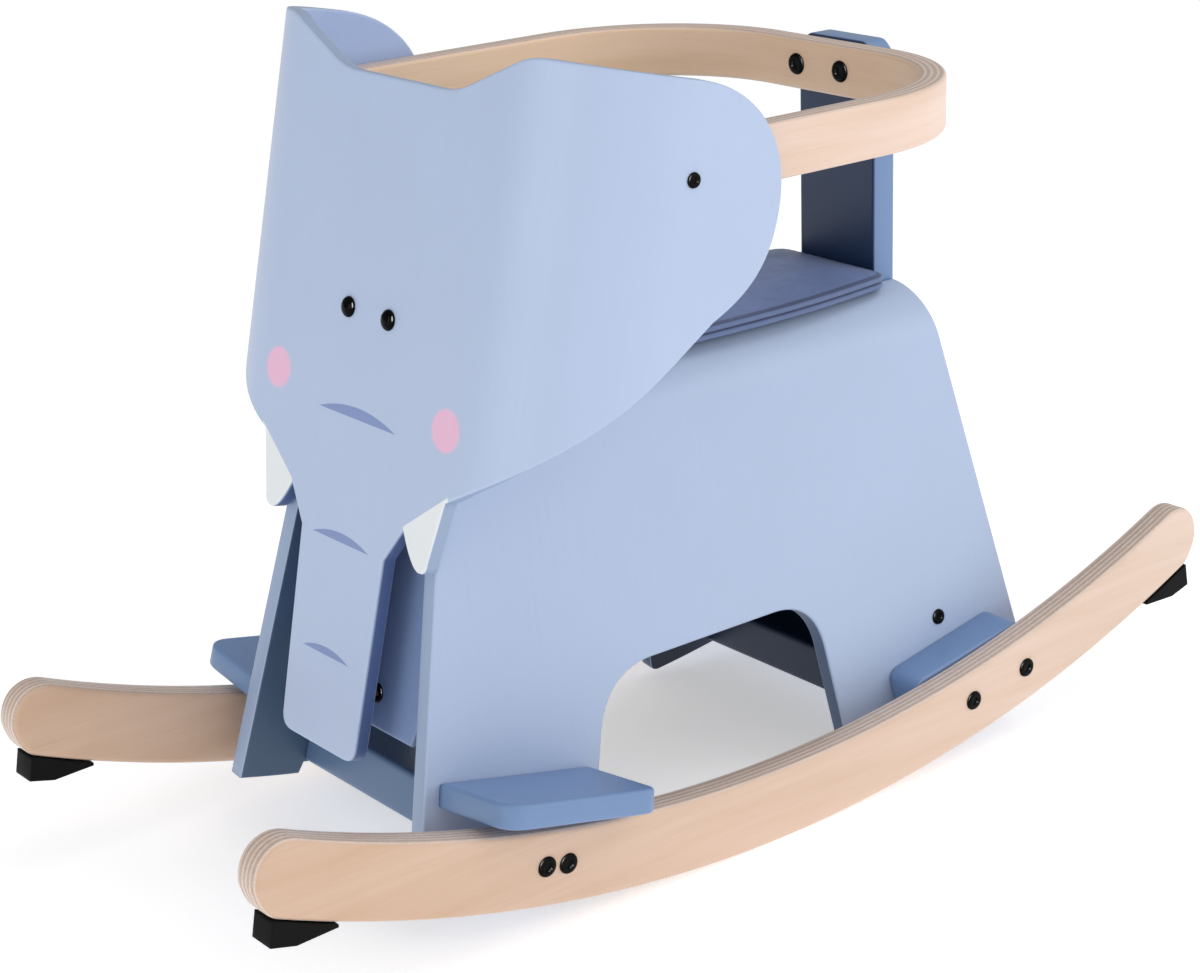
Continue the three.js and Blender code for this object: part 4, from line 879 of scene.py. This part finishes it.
# %% Hoop
HOOP_HALF, HOOP_THICK, HOOP_LOW, HOOP_HIGH = 131.75, 12.5, 338.5, 365.2
HOOP_FRONT, HOOP_REAR, HOOP_R, HOOP_TAPER, HOOP_SHAVE = -91.0, 142.55, 92.0, 14.0, 4.5
arm = HOOP_REAR - HOOP_R - HOOP_FRONT
corner_length = HOOP_R * math.pi / 2
back_half = HOOP_HALF - HOOP_R
hoop_length = 2 * (arm + corner_length + back_half)


def hoop_place(u, s, depth):
    """Measured from the middle of the back: straight to back_half, a quarter circle of radius
    HOOP_R - depth, then straight forward along an arm whose end thins by a slope on its outside."""
    middle = u - hoop_length / 2
    out = np.abs(middle)
    turn = np.clip((out - back_half) / HOOP_R, 0, math.pi / 2)
    to_end = hoop_length / 2 - out
    shave = HOOP_SHAVE * np.clip(1 - to_end / HOOP_TAPER, 0, 1)
    inward = shave + depth * (1 - shave / HOOP_THICK)
    radius = HOOP_R - inward
    straight = np.maximum(out - back_half - corner_length, 0)
    x = np.minimum(out, back_half) + radius * np.sin(turn)
    y = HOOP_REAR - HOOP_R + radius * np.cos(turn) - straight
    return np.stack([-np.sign(middle) * x, y, s], 1)


hoop_outline = spaced(rounded([(0, HOOP_LOW), (hoop_length, HOOP_LOW),
                               (hoop_length, HOOP_HIGH), (0, HOOP_HIGH)], [4] * 4), 4.0)
hoop = sheet("hoop", hoop_outline, hoop_place, HOOP_THICK, arris=2.0, step=(4, 5))
dress(hoop, birch("birch hoop", HOOP_THICK, 8, face=("#e9d0c1", "#e0c4b0"), back="#fdf4dd"))
print("hoop strip", round(hoop_length), "mm long,", len(hoop.data.polygons), "faces")

# %% [markdown]
# ## Posts and boards
#
# Behind the hoop stands a post with clipped corners, and a shorter one holds the face. Two boards close the
# saddle in front and behind, their sides following the inside of the bent sheet. The tall post is mid blue
# behind, and its side towards the child is dark navy, a painted shade. The rear board's inner side and edges
# are dark navy as painted shade, and its back is slate blue. The rest are a duller slate blue.

# %% Upright boards
def face_board(depth_from):
    """Bend function of a board that leans with the face, its good side a given depth behind it."""
    return lambda u, s, d: np.stack([
        u, FACE_FOOT + (depth_from + d) * math.cos(LEAN) + s * math.sin(LEAN),
        s * math.cos(LEAN) - (depth_from + d) * math.sin(LEAN)], 1)


def upright(y_from):
    """Bend function of a board that stands straight up, its good side at y_from: no bend at all."""
    return lambda u, s, d: np.stack([u, y_from + d, s], 1)


def leaning(z, depth):
    """Distance up the leaning board at which its good side reaches a height z."""
    return (z + depth * math.sin(LEAN)) / math.cos(LEAN)


BOARD_THICK, POST_THICK, NECK_THICK, POST_HALF = 12.0, 15.0, 13.4, 28.0
POST_Y, POST_LOW, POST_TOP, POST_CLIP, NECK_FOOT, NECK_TOP = 142.8, 62.0, 366.0, 7.0, 206.0, 357.6
neck_depth = FACE_THICK + FIT
board_depth = neck_depth + NECK_THICK + FIT
print("the front board lies", board_depth, "mm behind the face")

# %% Posts
slate = painted("slate blue board paint", "#7f95bd", BOARD_THICK, ("#7a90b6", "#7d93ba"))
# Painted shade: the post's side towards the child is dark navy; its back is the mid blue paint.
post_paint_with_painted_shade = painted("mid blue post paint", "#1e3454", POST_THICK, DEEP_EDGE, back="#7a93bc")
clip_side, clip_top = POST_HALF - POST_CLIP, POST_TOP - POST_CLIP
post_corners = [(-POST_HALF, POST_LOW), (POST_HALF, POST_LOW), (POST_HALF, clip_top),
                (clip_side, POST_TOP), (-clip_side, POST_TOP), (-POST_HALF, clip_top)]
post = sheet("backrest_post", spaced(rounded(post_corners, [3] * 6, 4), 8), upright(POST_Y), POST_THICK,
             arris=1.4, step=(9, 12))
dress(post, post_paint_with_painted_shade)
neck_low = leaning(NECK_FOOT, board_depth)
neck_corners = [(-POST_HALF, neck_low), (POST_HALF, neck_low), (POST_HALF, NECK_TOP), (-POST_HALF, NECK_TOP)]
neck = sheet("neck_post", spaced(rounded(neck_corners, [3, 3, 7, 7]), 8), face_board(neck_depth), NECK_THICK,
             arris=1.2, step=(9, 12))
dress(neck, slate)
print("posts ready")

# %% Closing boards
FRONT_BOARD_FOOT, FRONT_BOARD_LOW, FRONT_BOARD_TOP = (45.0, 80.3), 119, 224
REAR_BOARD_LOW, REAR_BOARD_TOP, REAR_BOARD_Y = 50.9, 226, 136.4


def inside_line(low, high, steps=10):
    """Half the inside of the saddle from one height to another, (x, z), a fit gap clear of it."""
    z = np.linspace(low, min(high, bend_z), steps)
    side = np.stack([shell_inner(z) - FIT, z], 1)
    radius = BEND_R - SADDLE_THICK - FIT
    top = math.degrees(math.asin(np.clip((high - bend_z) / radius, 0, 1)))
    return np.vstack([side, arc((half_top, bend_z), radius, 8, top, 8)]) if high > bend_z else side


front_half = np.vstack([[FRONT_BOARD_FOOT], inside_line(FRONT_BOARD_LOW, FRONT_BOARD_TOP)])
front_half[:, 1] = leaning(front_half[:, 1], board_depth)
front_board = sheet("front_board", spaced(mirrored(front_half), 6), face_board(board_depth), BOARD_THICK,
                    arris=1.2, step=(8, 10))
dress(front_board, slate)
# Painted shade: the rear board's inner side and edges are dark navy; its back is slate blue.
rear_board_painted_shade = painted("slate blue rear board paint", "#22314b", BOARD_THICK, ("#22314b", "#243450"),
                     back="#6f83a6")
rear_board = sheet("rear_board", spaced(mirrored(inside_line(REAR_BOARD_LOW, REAR_BOARD_TOP)), 6),
                   upright(REAR_BOARD_Y), BOARD_THICK, arris=1.2, step=(8, 10))
dress(rear_board, rear_board_painted_shade)
print("closing boards ready")

# %% [markdown]
# ## Rails and spacer blocks
#
# Two cross rails tie the legs together inside, and a block fills the space between each leg and
# its rocker, so that long bolts can clamp rocker, block, leg and rail in one stack. A rail is a
# sheet whose outline is its end and whose thickness is its whole length; both ends are cut to
# the splay of the legs.

# %% Slabs
def slab(front, low, depth, height, tilt, radius):
    """The end outline of a tilted slab in (y, z), its two upper corners rounded."""
    c, s = math.cos(math.radians(tilt)), math.sin(math.radians(tilt))
    at = lambda a, b: (front + a * c - b * s, low + a * s + b * c)
    return spaced(rounded([at(0, 0), at(depth, 0), at(depth, height), at(0, height)],
                          [3, 3, radius, radius]), 4)


def between_widths(low_side, high_side, length):
    """Bend function for a slab whose ends lie at two widths, each a function of height; depth shares
    out the way between them."""
    def place(u, s, d):
        share = d / length
        return np.stack([high_side(s) * (1 - share) + low_side(s) * share, u, s], 1)
    return place


print("a rail's end outline has", len(slab(*RAILS["front"], 3)), "points")

# %% [markdown]
# Nearly all that shows of a slab is its edge, so the edge colours are the ones that are seen. The
# paint is told of a thickness far beyond the slab's length, so that its far end counts as edge too.

# %% Rails and blocks
RAIL_LENGTH, BLOCK_LENGTH, BEYOND, BLOCK_RISE = 150.0, 24.0, 400.0, {"front": 0, "rear": 4}


def rear_rail_painted_shade(f, colour, across, along, depth):
    """Painted shade: the side of the rear rail that faces into the toy is darkened to dark navy."""
    return f.mix(f.between(across, 150, 115), colour, "#25344e")


deep_block = painted("mid blue block paint", "#7992bd", BEYOND, DEEP_EDGE)
for end, sizes in RAILS.items():
    # The rails' slate blue is the blocks' mid blue darkened as painted shade for rails inside the saddle.
    rail_paint_with_painted_shade = painted(f"slate blue {end} rail paint", "#60799a", BEYOND, ("#60799a", "#60799a"),
                         sawn_marks=rear_rail_painted_shade if end == "rear" else None)
    inner = lambda z: shell_inner(z) - FIT
    spread = between_widths(lambda z: -inner(z), inner, RAIL_LENGTH)
    rail = sheet(end + "_cross_rail", slab(*sizes, 3), spread, RAIL_LENGTH, arris=1.0, step=(5, 5))
    dress(rail, rail_paint_with_painted_shade)
    front, low, depth, height, tilt = sizes
    block_end = slab(front, low, depth, height + BLOCK_RISE[end], tilt, 7)
    for side, sign in SIDES:
        outer = lambda z: sign * (0 * z + ROCKER_OUTER - ROCKER_THICK - FIT)
        spread = between_widths(lambda z: sign * (shell_outer(z) + FIT), outer, BLOCK_LENGTH)
        block = sheet(f"spacer_block.{end}.{side}", block_end, spread, BLOCK_LENGTH, arris=1.4, step=(4, 4))
        dress(block, deep_block)
print("rails and blocks ready")

# %% [markdown]
# ## Footrests
#
# A board stands out square from each side panel, a little above the rocker, and slopes down
# towards the rear. Its own three directions are worked out once: out from the panel, back along
# the board, and up from it.

# %% Footrests
REST_SLOPE, REST_FRONT, REST_HEIGHT = math.radians(12.3), -183.3, 75.3
REST_INNER, REST_OUTER, REST_LENGTH, REST_THICK = 0.3, 54.5, 87.0, 12.0
deep = painted("mid blue paint", "#718db8", REST_THICK, DEEP_EDGE)
out_way = np.array([math.cos(SPLAY), 0, math.sin(SPLAY)])
up_way = np.cross(out_way, [0, math.cos(REST_SLOPE), -math.sin(REST_SLOPE)])
up_way /= np.linalg.norm(up_way)
back_way = np.cross(up_way, out_way)
rest_start = np.array([float(shell_outer(REST_HEIGHT)), REST_FRONT, REST_HEIGHT])
rest_outline = spaced(rounded([(REST_INNER, 0), (REST_OUTER, 0), (REST_OUTER, REST_LENGTH),
                               (REST_INNER, REST_LENGTH)], [0, 13, 8, 0], 8), 3)
for side, sign in SIDES:
    def rest_place(u, s, d):
        """From the board's start: u steps out, s steps back and d steps down."""
        spot = rest_start + u[:, None] * out_way + s[:, None] * back_way - d[:, None] * up_way
        return spot * [sign, 1, 1]
    footrest = sheet("footrest." + side, rest_outline, rest_place, REST_THICK, arris=1.8, step=(5, 5))
    dress(footrest, deep)
print("footrests ready")

# %% [markdown]
# ## Bolts, screws and nuts
#
# The fasteners are turned parts: a profile of radius and height, swept round its own axis. The
# only part that is not round is the key hole in the head, so its ring of points takes its radius
# from a formula: the distance to the side of a hexagon, or to the side of a cross, at each angle.

# %% Turned parts
TURNS = 48
around = np.linspace(0, 2 * math.pi, TURNS, endpoint=False)


def hexagon(reach):
    """Distance from the middle to the side of a hexagon at each angle round it."""
    return reach * math.cos(math.pi / 6) / np.cos((around + math.pi / 6) % (math.pi / 3) - math.pi / 6)


def cross(reach, half):
    """Distance to the side of a plus sign: its arms' half width over the sine of the angle."""
    nearest = np.abs((around + math.pi / 4) % (math.pi / 2) - math.pi / 4)
    return np.minimum(reach, half / np.maximum(np.sin(nearest), 1e-3))


def turned(name, rings, heights, seat, direction, kind):
    """Rings of given radii at given heights along an axis, each joined to the next. Both ends are
    closed by a point, unless the last ring lies on the first, as in a nut. The stored flat place is
    (radius, angle, kind), and kind is 1 in the key hole and 0 elsewhere."""
    axis = np.array(direction, float) / np.linalg.norm(direction)
    side = np.cross([0.0, 0.0, 1.0] if abs(axis[2]) < 0.9 else [0.0, 1.0, 0.0], axis)
    side /= np.linalg.norm(side)
    over = np.cross(axis, side)
    radii = np.array([np.broadcast_to(r, (TURNS,)) for r in rings])
    height = np.repeat(np.array(heights, float)[:, None], TURNS, axis=1)
    rim = side * np.cos(around)[:, None] + over * np.sin(around)[:, None]
    points = (np.array(seat, float) + radii[..., None] * rim + height[..., None] * axis).reshape(-1, 3)
    inside = np.repeat(np.array(kind, float)[:, None], TURNS, axis=1)
    flat = np.stack([radii, np.repeat(around[None], len(rings), axis=0), inside], -1).reshape(-1, 3)
    i = np.arange(TURNS)
    j = (i + 1) % TURNS
    last = (len(rings) - 1) * TURNS
    faces = np.vstack([np.stack([k + i, k + j, k + TURNS + j, k + TURNS + i], 1)
                       for k in range(0, last, TURNS)])
    if np.allclose(radii[0], radii[-1]) and heights[0] == heights[-1]:
        return solid(name, points[:last], (faces % last).tolist(), flat[:last])
    base, tip = len(points), len(points) + 1
    points = np.vstack([points, seat + heights[0] * axis, seat + heights[-1] * axis])
    flat = np.vstack([flat, [0, 0, kind[0]], [0, 0, kind[-1]]])
    faces = faces.tolist()
    faces += np.stack([j, i, np.full(TURNS, base)], 1).tolist()
    faces += np.stack([last + i, last + j, np.full(TURNS, tip)], 1).tolist()
    return solid(name, points, faces, flat)


def head_rings(shank, length, edge, drive, high=1.5):
    """Rings of a bolt from the shank's end to the floor of its key hole; the head is a low dome."""
    rings = [shank - 0.4, shank, shank, edge - 0.12, edge, edge - 0.1, edge * 0.93, edge * 0.82, edge * 0.68,
             drive + 0.2, drive, drive * 0.98, drive * 0.9]
    share = [0, 0.08, 0.4, 0.68, 0.85, 0.95, 1, 0.93, 0.35, 0.33]
    return rings, [-length, -length + 0.5, 0, *(high * k for k in share)], [0] * 10 + [1, 1, 1]


print("turned parts ready")

# %% [markdown]
# The steel has a black finish that is worn to a soft shine. The small screws in the front board
# have a brass cross hole, and the eyes are the polished domes of two bolts.

# %% Steel finishes
def steel(name, roughness, screen, shine, hollow=None):
    """Black-finished steel: faint blotches in the shine, and another colour in the key hole."""
    f = Finish(name, roughness, Specular_IOR_Level=shine)
    inside = f.flat()[3]
    blotch = f.noise(f.here(), 420, 3.0, 0.6)
    colour = f.mix(f.between(blotch, 0.35, 0.75, 0.0, 1.0), screen, "#080809")
    if hollow:
        colour = f.mix(f.between(inside, 0.3, 0.7), colour, hollow)
    return f.finish(colour, f.bump(blotch, 0.02, 0.4),
                    f.between(blotch, 0.3, 0.7, roughness - 0.06, roughness + 0.08))


black_bolt = steel("black bolt steel", 0.3, "#030303", 0.06)
black_screw = steel("black screw steel", 0.28, "#040404", 0.1, "#b08a4a")
eye_black = steel("polished eye steel", 0.1, "#010101", 0.06)


def bolt(name, seat, direction, length, edge=5.1):
    """A bolt whose head sits at a place and points in a direction; its hexagon key hole reaches half
    as far as the head."""
    rings, heights, kind = head_rings(3.0, length, edge, hexagon(0.5 * edge))
    return dress(turned(name, rings, heights, seat, direction, kind), black_bolt)


def nut(name, seat, direction):
    """A round nut: a closed ring of a profile that goes out, up, in and down again."""
    rings = [3.3, 5.6, 5.9, 5.9, 5.3, 3.6, 3.3, 3.3]
    heights = [0, 0, 0.3, 3.4, 4.2, 4.2, 3.9, 0]
    return dress(turned(name, rings, heights, seat, direction, [0] * 8), black_bolt)


print("steel ready")

# %% [markdown]
# Every fastener has a seat, where the underside of its head lies, and a direction in which the
# head points. The long bolts of the rockers run level through rocker, block, leg and rail, and sit
# on the middle line of the rail. Those of the panels and footrests follow the splay. Each function
# below makes one side's, and the last cell calls them for both sides.

# %% Rocker bolts
ROCKER_BOLTS, BOLT_GRIP = {"front": (-153.8, -141.4), "rear": (129.4, 169.5)}, 22.0


def rocker_bolts(side, sign):
    """Two bolts at each end of one rocker. A bolt reaches from the rocker's outer side to the leg's
    inner one, and by BOLT_GRIP into the rail."""
    for end, places in ROCKER_BOLTS.items():
        for k, y in enumerate(places):
            z = float(rail_line(end, 0.5)(y))
            bolt(f"rocker_bolt.{end}.{side}.{k + 1}", [sign * ROCKER_OUTER, y, z], [sign, 0, 0],
                 ROCKER_OUTER - float(shell_inner(z)) + BOLT_GRIP)


print("rocker bolts at y =", ROCKER_BOLTS)

# %% Hoop, post and side bolts
PITCH, HOOP_Z, POST_BACK = 16.2, (HOOP_LOW + HOOP_HIGH) / 2, POST_Y + POST_THICK
EAR_SEAT, EAR_NUT_SEAT, EAR_BOLT_Y, EAR_BOLT_Z = 140.0, 119.2, -76.6, HOOP_Z - 2
PANEL_BOLT_Y, PANEL_BOLT_Z, POST_BOLT_HEIGHTS, REST_SCREWS = 142.4, 65.5, (92, 128), (20, 60)


def side_bolts(side, sign):
    """One side's bolts and nuts of ear, panel, hoop, post and footrest."""
    outward = out_way * [sign, 1, 1]
    bolt("ear_bolt." + side, [sign * EAR_SEAT, EAR_BOLT_Y, EAR_BOLT_Z], [sign, 0, 0], 23, 3.6)
    nut("ear_nut." + side, [sign * EAR_NUT_SEAT, EAR_BOLT_Y, EAR_BOLT_Z], [-sign, 0, 0])
    panel_seat = [sign * float(shell_outer(PANEL_BOLT_Z)), PANEL_BOLT_Y, PANEL_BOLT_Z]
    bolt("panel_bolt." + side, panel_seat, outward, 20, 4.2)
    bolt("hoop_bolt." + side, [sign * PITCH, HOOP_REAR - HOOP_THICK, HOOP_Z], [0, -1, 0], 30, 5.6)
    nut("hoop_nut." + side, [sign * PITCH, POST_BACK, HOOP_Z], [0, 1, 0])
    for k, z in enumerate(POST_BOLT_HEIGHTS):
        bolt(f"post_bolt.{side}.{k + 1}", [sign * PITCH, POST_BACK, z], [0, 1, 0], 21.4)
    for k, back in enumerate(REST_SCREWS):
        seat = rest_start - SADDLE_THICK * out_way + back * back_way - REST_THICK / 2 * up_way
        bolt(f"footrest_screw.{side}.{k + 1}", seat * [sign, 1, 1], -outward, 24)


print("hoop bolts stand", round(HOOP_Z, 2), "mm above the floor")

# %% Eyes and board screws
EYE_UP, EYE_R, EYE_DOME, SCREW_X, SCREW_Z = 285.2, 5.0, 2.6, 13.8, 97.1
face_up = np.array([0, math.sin(LEAN), math.cos(LEAN)])
face_back = np.array([0, math.cos(LEAN), -math.sin(LEAN)])
dome = np.radians(np.linspace(0, 88, 12))


def on_face(x, s, depth):
    """A place x across, s up the leaning sheet and some depth behind its good face."""
    return np.array([x, FACE_FOOT, 0]) + face_up * s + face_back * depth


def eye_and_screw(side, sign):
    """One side's eye, its nut behind the neck post, and the screw of the front board."""
    nut("eye_nut." + side, on_face(sign * PITCH, EYE_UP, board_depth), face_back)
    rings, heights, kind = head_rings(2.4, 8.5, 4.9, cross(2.7, 0.75))
    screw_seat = on_face(sign * SCREW_X, leaning(SCREW_Z, board_depth), board_depth)
    screw = turned("board_screw." + side, rings, heights, screw_seat, -face_back, kind)
    dress(screw, black_screw)
    eye = turned("eye." + side, [2.6, 3.0, 3.0, 4.7, *(EYE_R * np.cos(dome))],
                 [-21.5, -21, 0, 0, *(0.4 + EYE_DOME * np.sin(dome))],
                 on_face(sign * PITCH, EYE_UP, 0), -face_back, [0] * 16)
    dress(eye, eye_black, node="eye_bolt_" + side)


print("eyes are domes", EYE_R, "mm in radius and", EYE_DOME, "mm high")

# %% Fasteners on both sides
for side, sign in SIDES:
    rocker_bolts(side, sign)
    side_bolts(side, sign)
    eye_and_screw(side, sign)

# %% Glints
black_steel_pieces = bpy.data.collections.new("black steel")
glinting = ("eye", "rocker_bolt", "ear_bolt", "panel_bolt", "hoop_bolt", "board_screw")
for piece in bpy.data.objects:
    if piece.name.split(".")[0] in glinting:
        black_steel_pieces.objects.link(piece)
glint.light_linking.receiver_collection = black_steel_pieces

# %% [markdown]
# ## Seat cushion
#
# The cushion is a thin stuffed pad in slate blue synthetic leather. Its border is two rows of
# rounded welt, one over the other, with a groove above, between and below them. The top
# swells a little between its seams. The border is made from a profile of inset and height, and
# the top is then blown up by a cloth simulation whose seams are held, which is how a real cover
# fills when it is stuffed.

# %% Cushion outline
CUSHION_REAR, CUSHION_LENGTH, CUSHION_LOW, BORDER = 141.8, 212.0, SADDLE_TOP + FIT, 7.2
REAR_HALF, WIDEST_HALF, FRONT_HALF, WIDEST_AT, CUSHION_CORNER = 41.0, 49.0, 44.0, 0.42, 18.0


def cushion_half(share):
    """Half width at a share of the length: from the rear it swells by a sine to its widest, and from
    there it narrows by a cosine to the front."""
    rear = REAR_HALF + (WIDEST_HALF - REAR_HALF) * np.sin(math.pi / 2 * np.minimum(share / WIDEST_AT, 1))
    onward = np.clip((share - WIDEST_AT) / (1 - WIDEST_AT), 0, 1)
    front = FRONT_HALF + (WIDEST_HALF - FRONT_HALF) * np.cos(math.pi / 2 * onward)
    return np.where(share < WIDEST_AT, rear, front)


share = np.linspace(0, 1, 12)
loop = mirrored(np.stack([cushion_half(share), CUSHION_REAR - share * CUSHION_LENGTH], 1))
turns = np.full(len(loop), 6.0)
turns[[0, 11, 12, 23]] = CUSHION_CORNER
cushion_outline = spaced(rounded(loop[::-1], turns[::-1], 8), 2.2)
print("cushion outline of", len(cushion_outline), "points")

# %% Cushion body
GROOVE_INSET, WELT_OUT = 1.9, 1.5
level = np.linspace(0, BORDER, 19)
welts = np.abs(np.sin(math.pi * level / (BORDER / 2))) ** 0.6
pad_rings = np.vstack([[[4.4, 0.0], [2.6, 0.05]], np.stack([GROOVE_INSET - WELT_OUT * welts, level], 1),
                       [[3.4, BORDER]]])


def pad_place(u, s, d):
    """The pad stands on the saddle; depth runs down from its top seam."""
    return np.stack([u, s, CUSHION_LOW + BORDER - d], 1)


pad = sheet("seat_cushion", cushion_outline, pad_place, BORDER, step=(3.4, 3.4), rings=pad_rings)
print("cushion", len(pad.data.polygons), "faces")

# %% [markdown]
# The top is first raised to a low crown, a quarter of a sine from the seam inwards. The cover then becomes a
# cloth with pressure inside. Its border is held, so only the top moves, and it may move by a little more than
# two millimetres at most.

# %% Cushion filling
CROWN_RISE, CROWN_START, CROWN_RUN, PUFF_CAP = 3.6, 2.2, 24.0, 2.2


def vectors(items, key):
    """Every vector that a list of mesh data holds under a key, as one array of rows."""
    values = np.empty(len(items) * 3, np.float32)
    items.foreach_get(key, values)
    return values.reshape(-1, 3)


def puff(piece, held, cap, pressure=4.0, frames=20):
    """Blows a closed cover up from within for some frames, held at its seams, then keeps the shape
    it reached, each point's move shortened to the cap where it was longer."""
    before = vectors(piece.data.vertices, "co")
    group = piece.vertex_groups.new(name="held")
    group.add(np.nonzero(held)[0].tolist(), 1.0, "REPLACE")
    cloth = piece.modifiers.new("filling", "CLOTH")
    cloth.settings.use_pressure = True
    cloth.settings.uniform_pressure_force = pressure
    cloth.settings.effector_weights.gravity = 0
    cloth.settings.vertex_group_mass = "held"
    cloth.settings.tension_stiffness = cloth.settings.compression_stiffness = 12
    cloth.point_cache.frame_start, cloth.point_cache.frame_end = 1, frames
    for number in range(1, frames + 1):
        scene.frame_set(number)
    shaped = piece.evaluated_get(bpy.context.evaluated_depsgraph_get()).to_mesh()
    move = vectors(shaped.vertices, "co") - before
    length = np.maximum(np.linalg.norm(move, axis=1, keepdims=True), 1e-9)
    move *= np.minimum(1, cap / length)
    piece.modifiers.remove(cloth)
    scene.frame_set(1)
    piece.data.vertices.foreach_set("co", (before + move).ravel())
    piece.data.update()
    return float(np.max(length))


depth_of = vectors(pad.data.attributes["flat"].data, "vector")[:, 2]
crowned = vectors(pad.data.vertices, "co")
gap = np.min(np.linalg.norm(crowned[:, None, :2] / MM - cushion_outline[None, ::3, :], axis=2), axis=1)
inward = np.clip((gap - CROWN_START) / CROWN_RUN, 0, 1)
crowned[:, 2] += CROWN_RISE * np.sin(inward * math.pi / 2) * (depth_of < 0.1) * MM
pad.data.vertices.foreach_set("co", crowned.ravel())
moved = puff(pad, depth_of > 0.02, PUFF_CAP * MM)
print("cover moved by up to", round(moved / MM, 1), "mm before the cap")

# %% [markdown]
# Synthetic leather is pressed with a fine pebbled grain and has a low sheen. The grooves of the border are
# coloured darker, as painted shade.

# %% Leather
def leather():
    """Pebbles from cell distances, creases from noise, and painted shade in the grooves, where the sine of
    the depth, which also makes the welts, is near nought."""
    f = Finish("slate blue leather", 0.5, Specular_IOR_Level=0.45, Sheen_Weight=0.12, Sheen_Roughness=0.5)
    depth = f.flat()[3]
    here = f.here()
    pebble = f.add("ShaderNodeTexVoronoi", {"Vector": here, "Scale": 1500.0}, out="Distance", feature="F1")
    crease = f.noise(here, 130, 4.0, 0.6)
    cloud = f.noise(here, 26, 2.0, 0.5)
    groove = f.maths("ABSOLUTE", f.maths("SINE", f.maths("MULTIPLY", depth, math.pi / (BORDER / 2))))
    # Painted shade in the grooves of the border.
    shade = f.all_of(f.between(groove, 0.6, 0.1), f.between(depth, 0.005, 0.05))
    colour = f.mix(f.between(cloud, 0.35, 0.65), "#697eae", "#6276a4")
    colour = f.mix(f.between(crease, 0.55, 0.75, 0.0, 0.35), colour, "#56668e")
    colour = f.mix(f.between(depth, 0.02, 0.3, 0.0, 0.55), colour, "#4b5a80")
    colour = f.mix(f.maths("MULTIPLY", shade, 0.9), colour, "#1e2740")
    relief = f.maths("ADD", f.maths("MULTIPLY", pebble, 0.5), f.maths("MULTIPLY", crease, 1.2))
    return f.finish(colour, f.bump(relief, 0.12, 0.7), f.between(crease, 0.3, 0.7, 0.42, 0.56))


dress(pad, leather())
print("cushion stands to", round(float(vectors(pad.data.vertices, "co")[:, 2].max()) / MM, 1), "mm")

# %% [markdown]
# ## Floor finish
#
# The floor is plain and nearly white, and glows a little, as a floor lit from below does, so the shade under
# the toy stays soft.

# %% Floor finish
floor_finish = bpy.data.materials.new("white floor")
floor_finish.use_nodes = True
for socket, value in (("Base Color", (0.93, 0.93, 0.935, 1)), ("Emission Color", (1, 1, 1, 1)),
                      ("Emission Strength", 0.42), ("Roughness", 0.9)):
    floor_finish.node_tree.nodes["Principled BSDF"].inputs[socket].default_value = value
floor.data.materials.append(floor_finish)
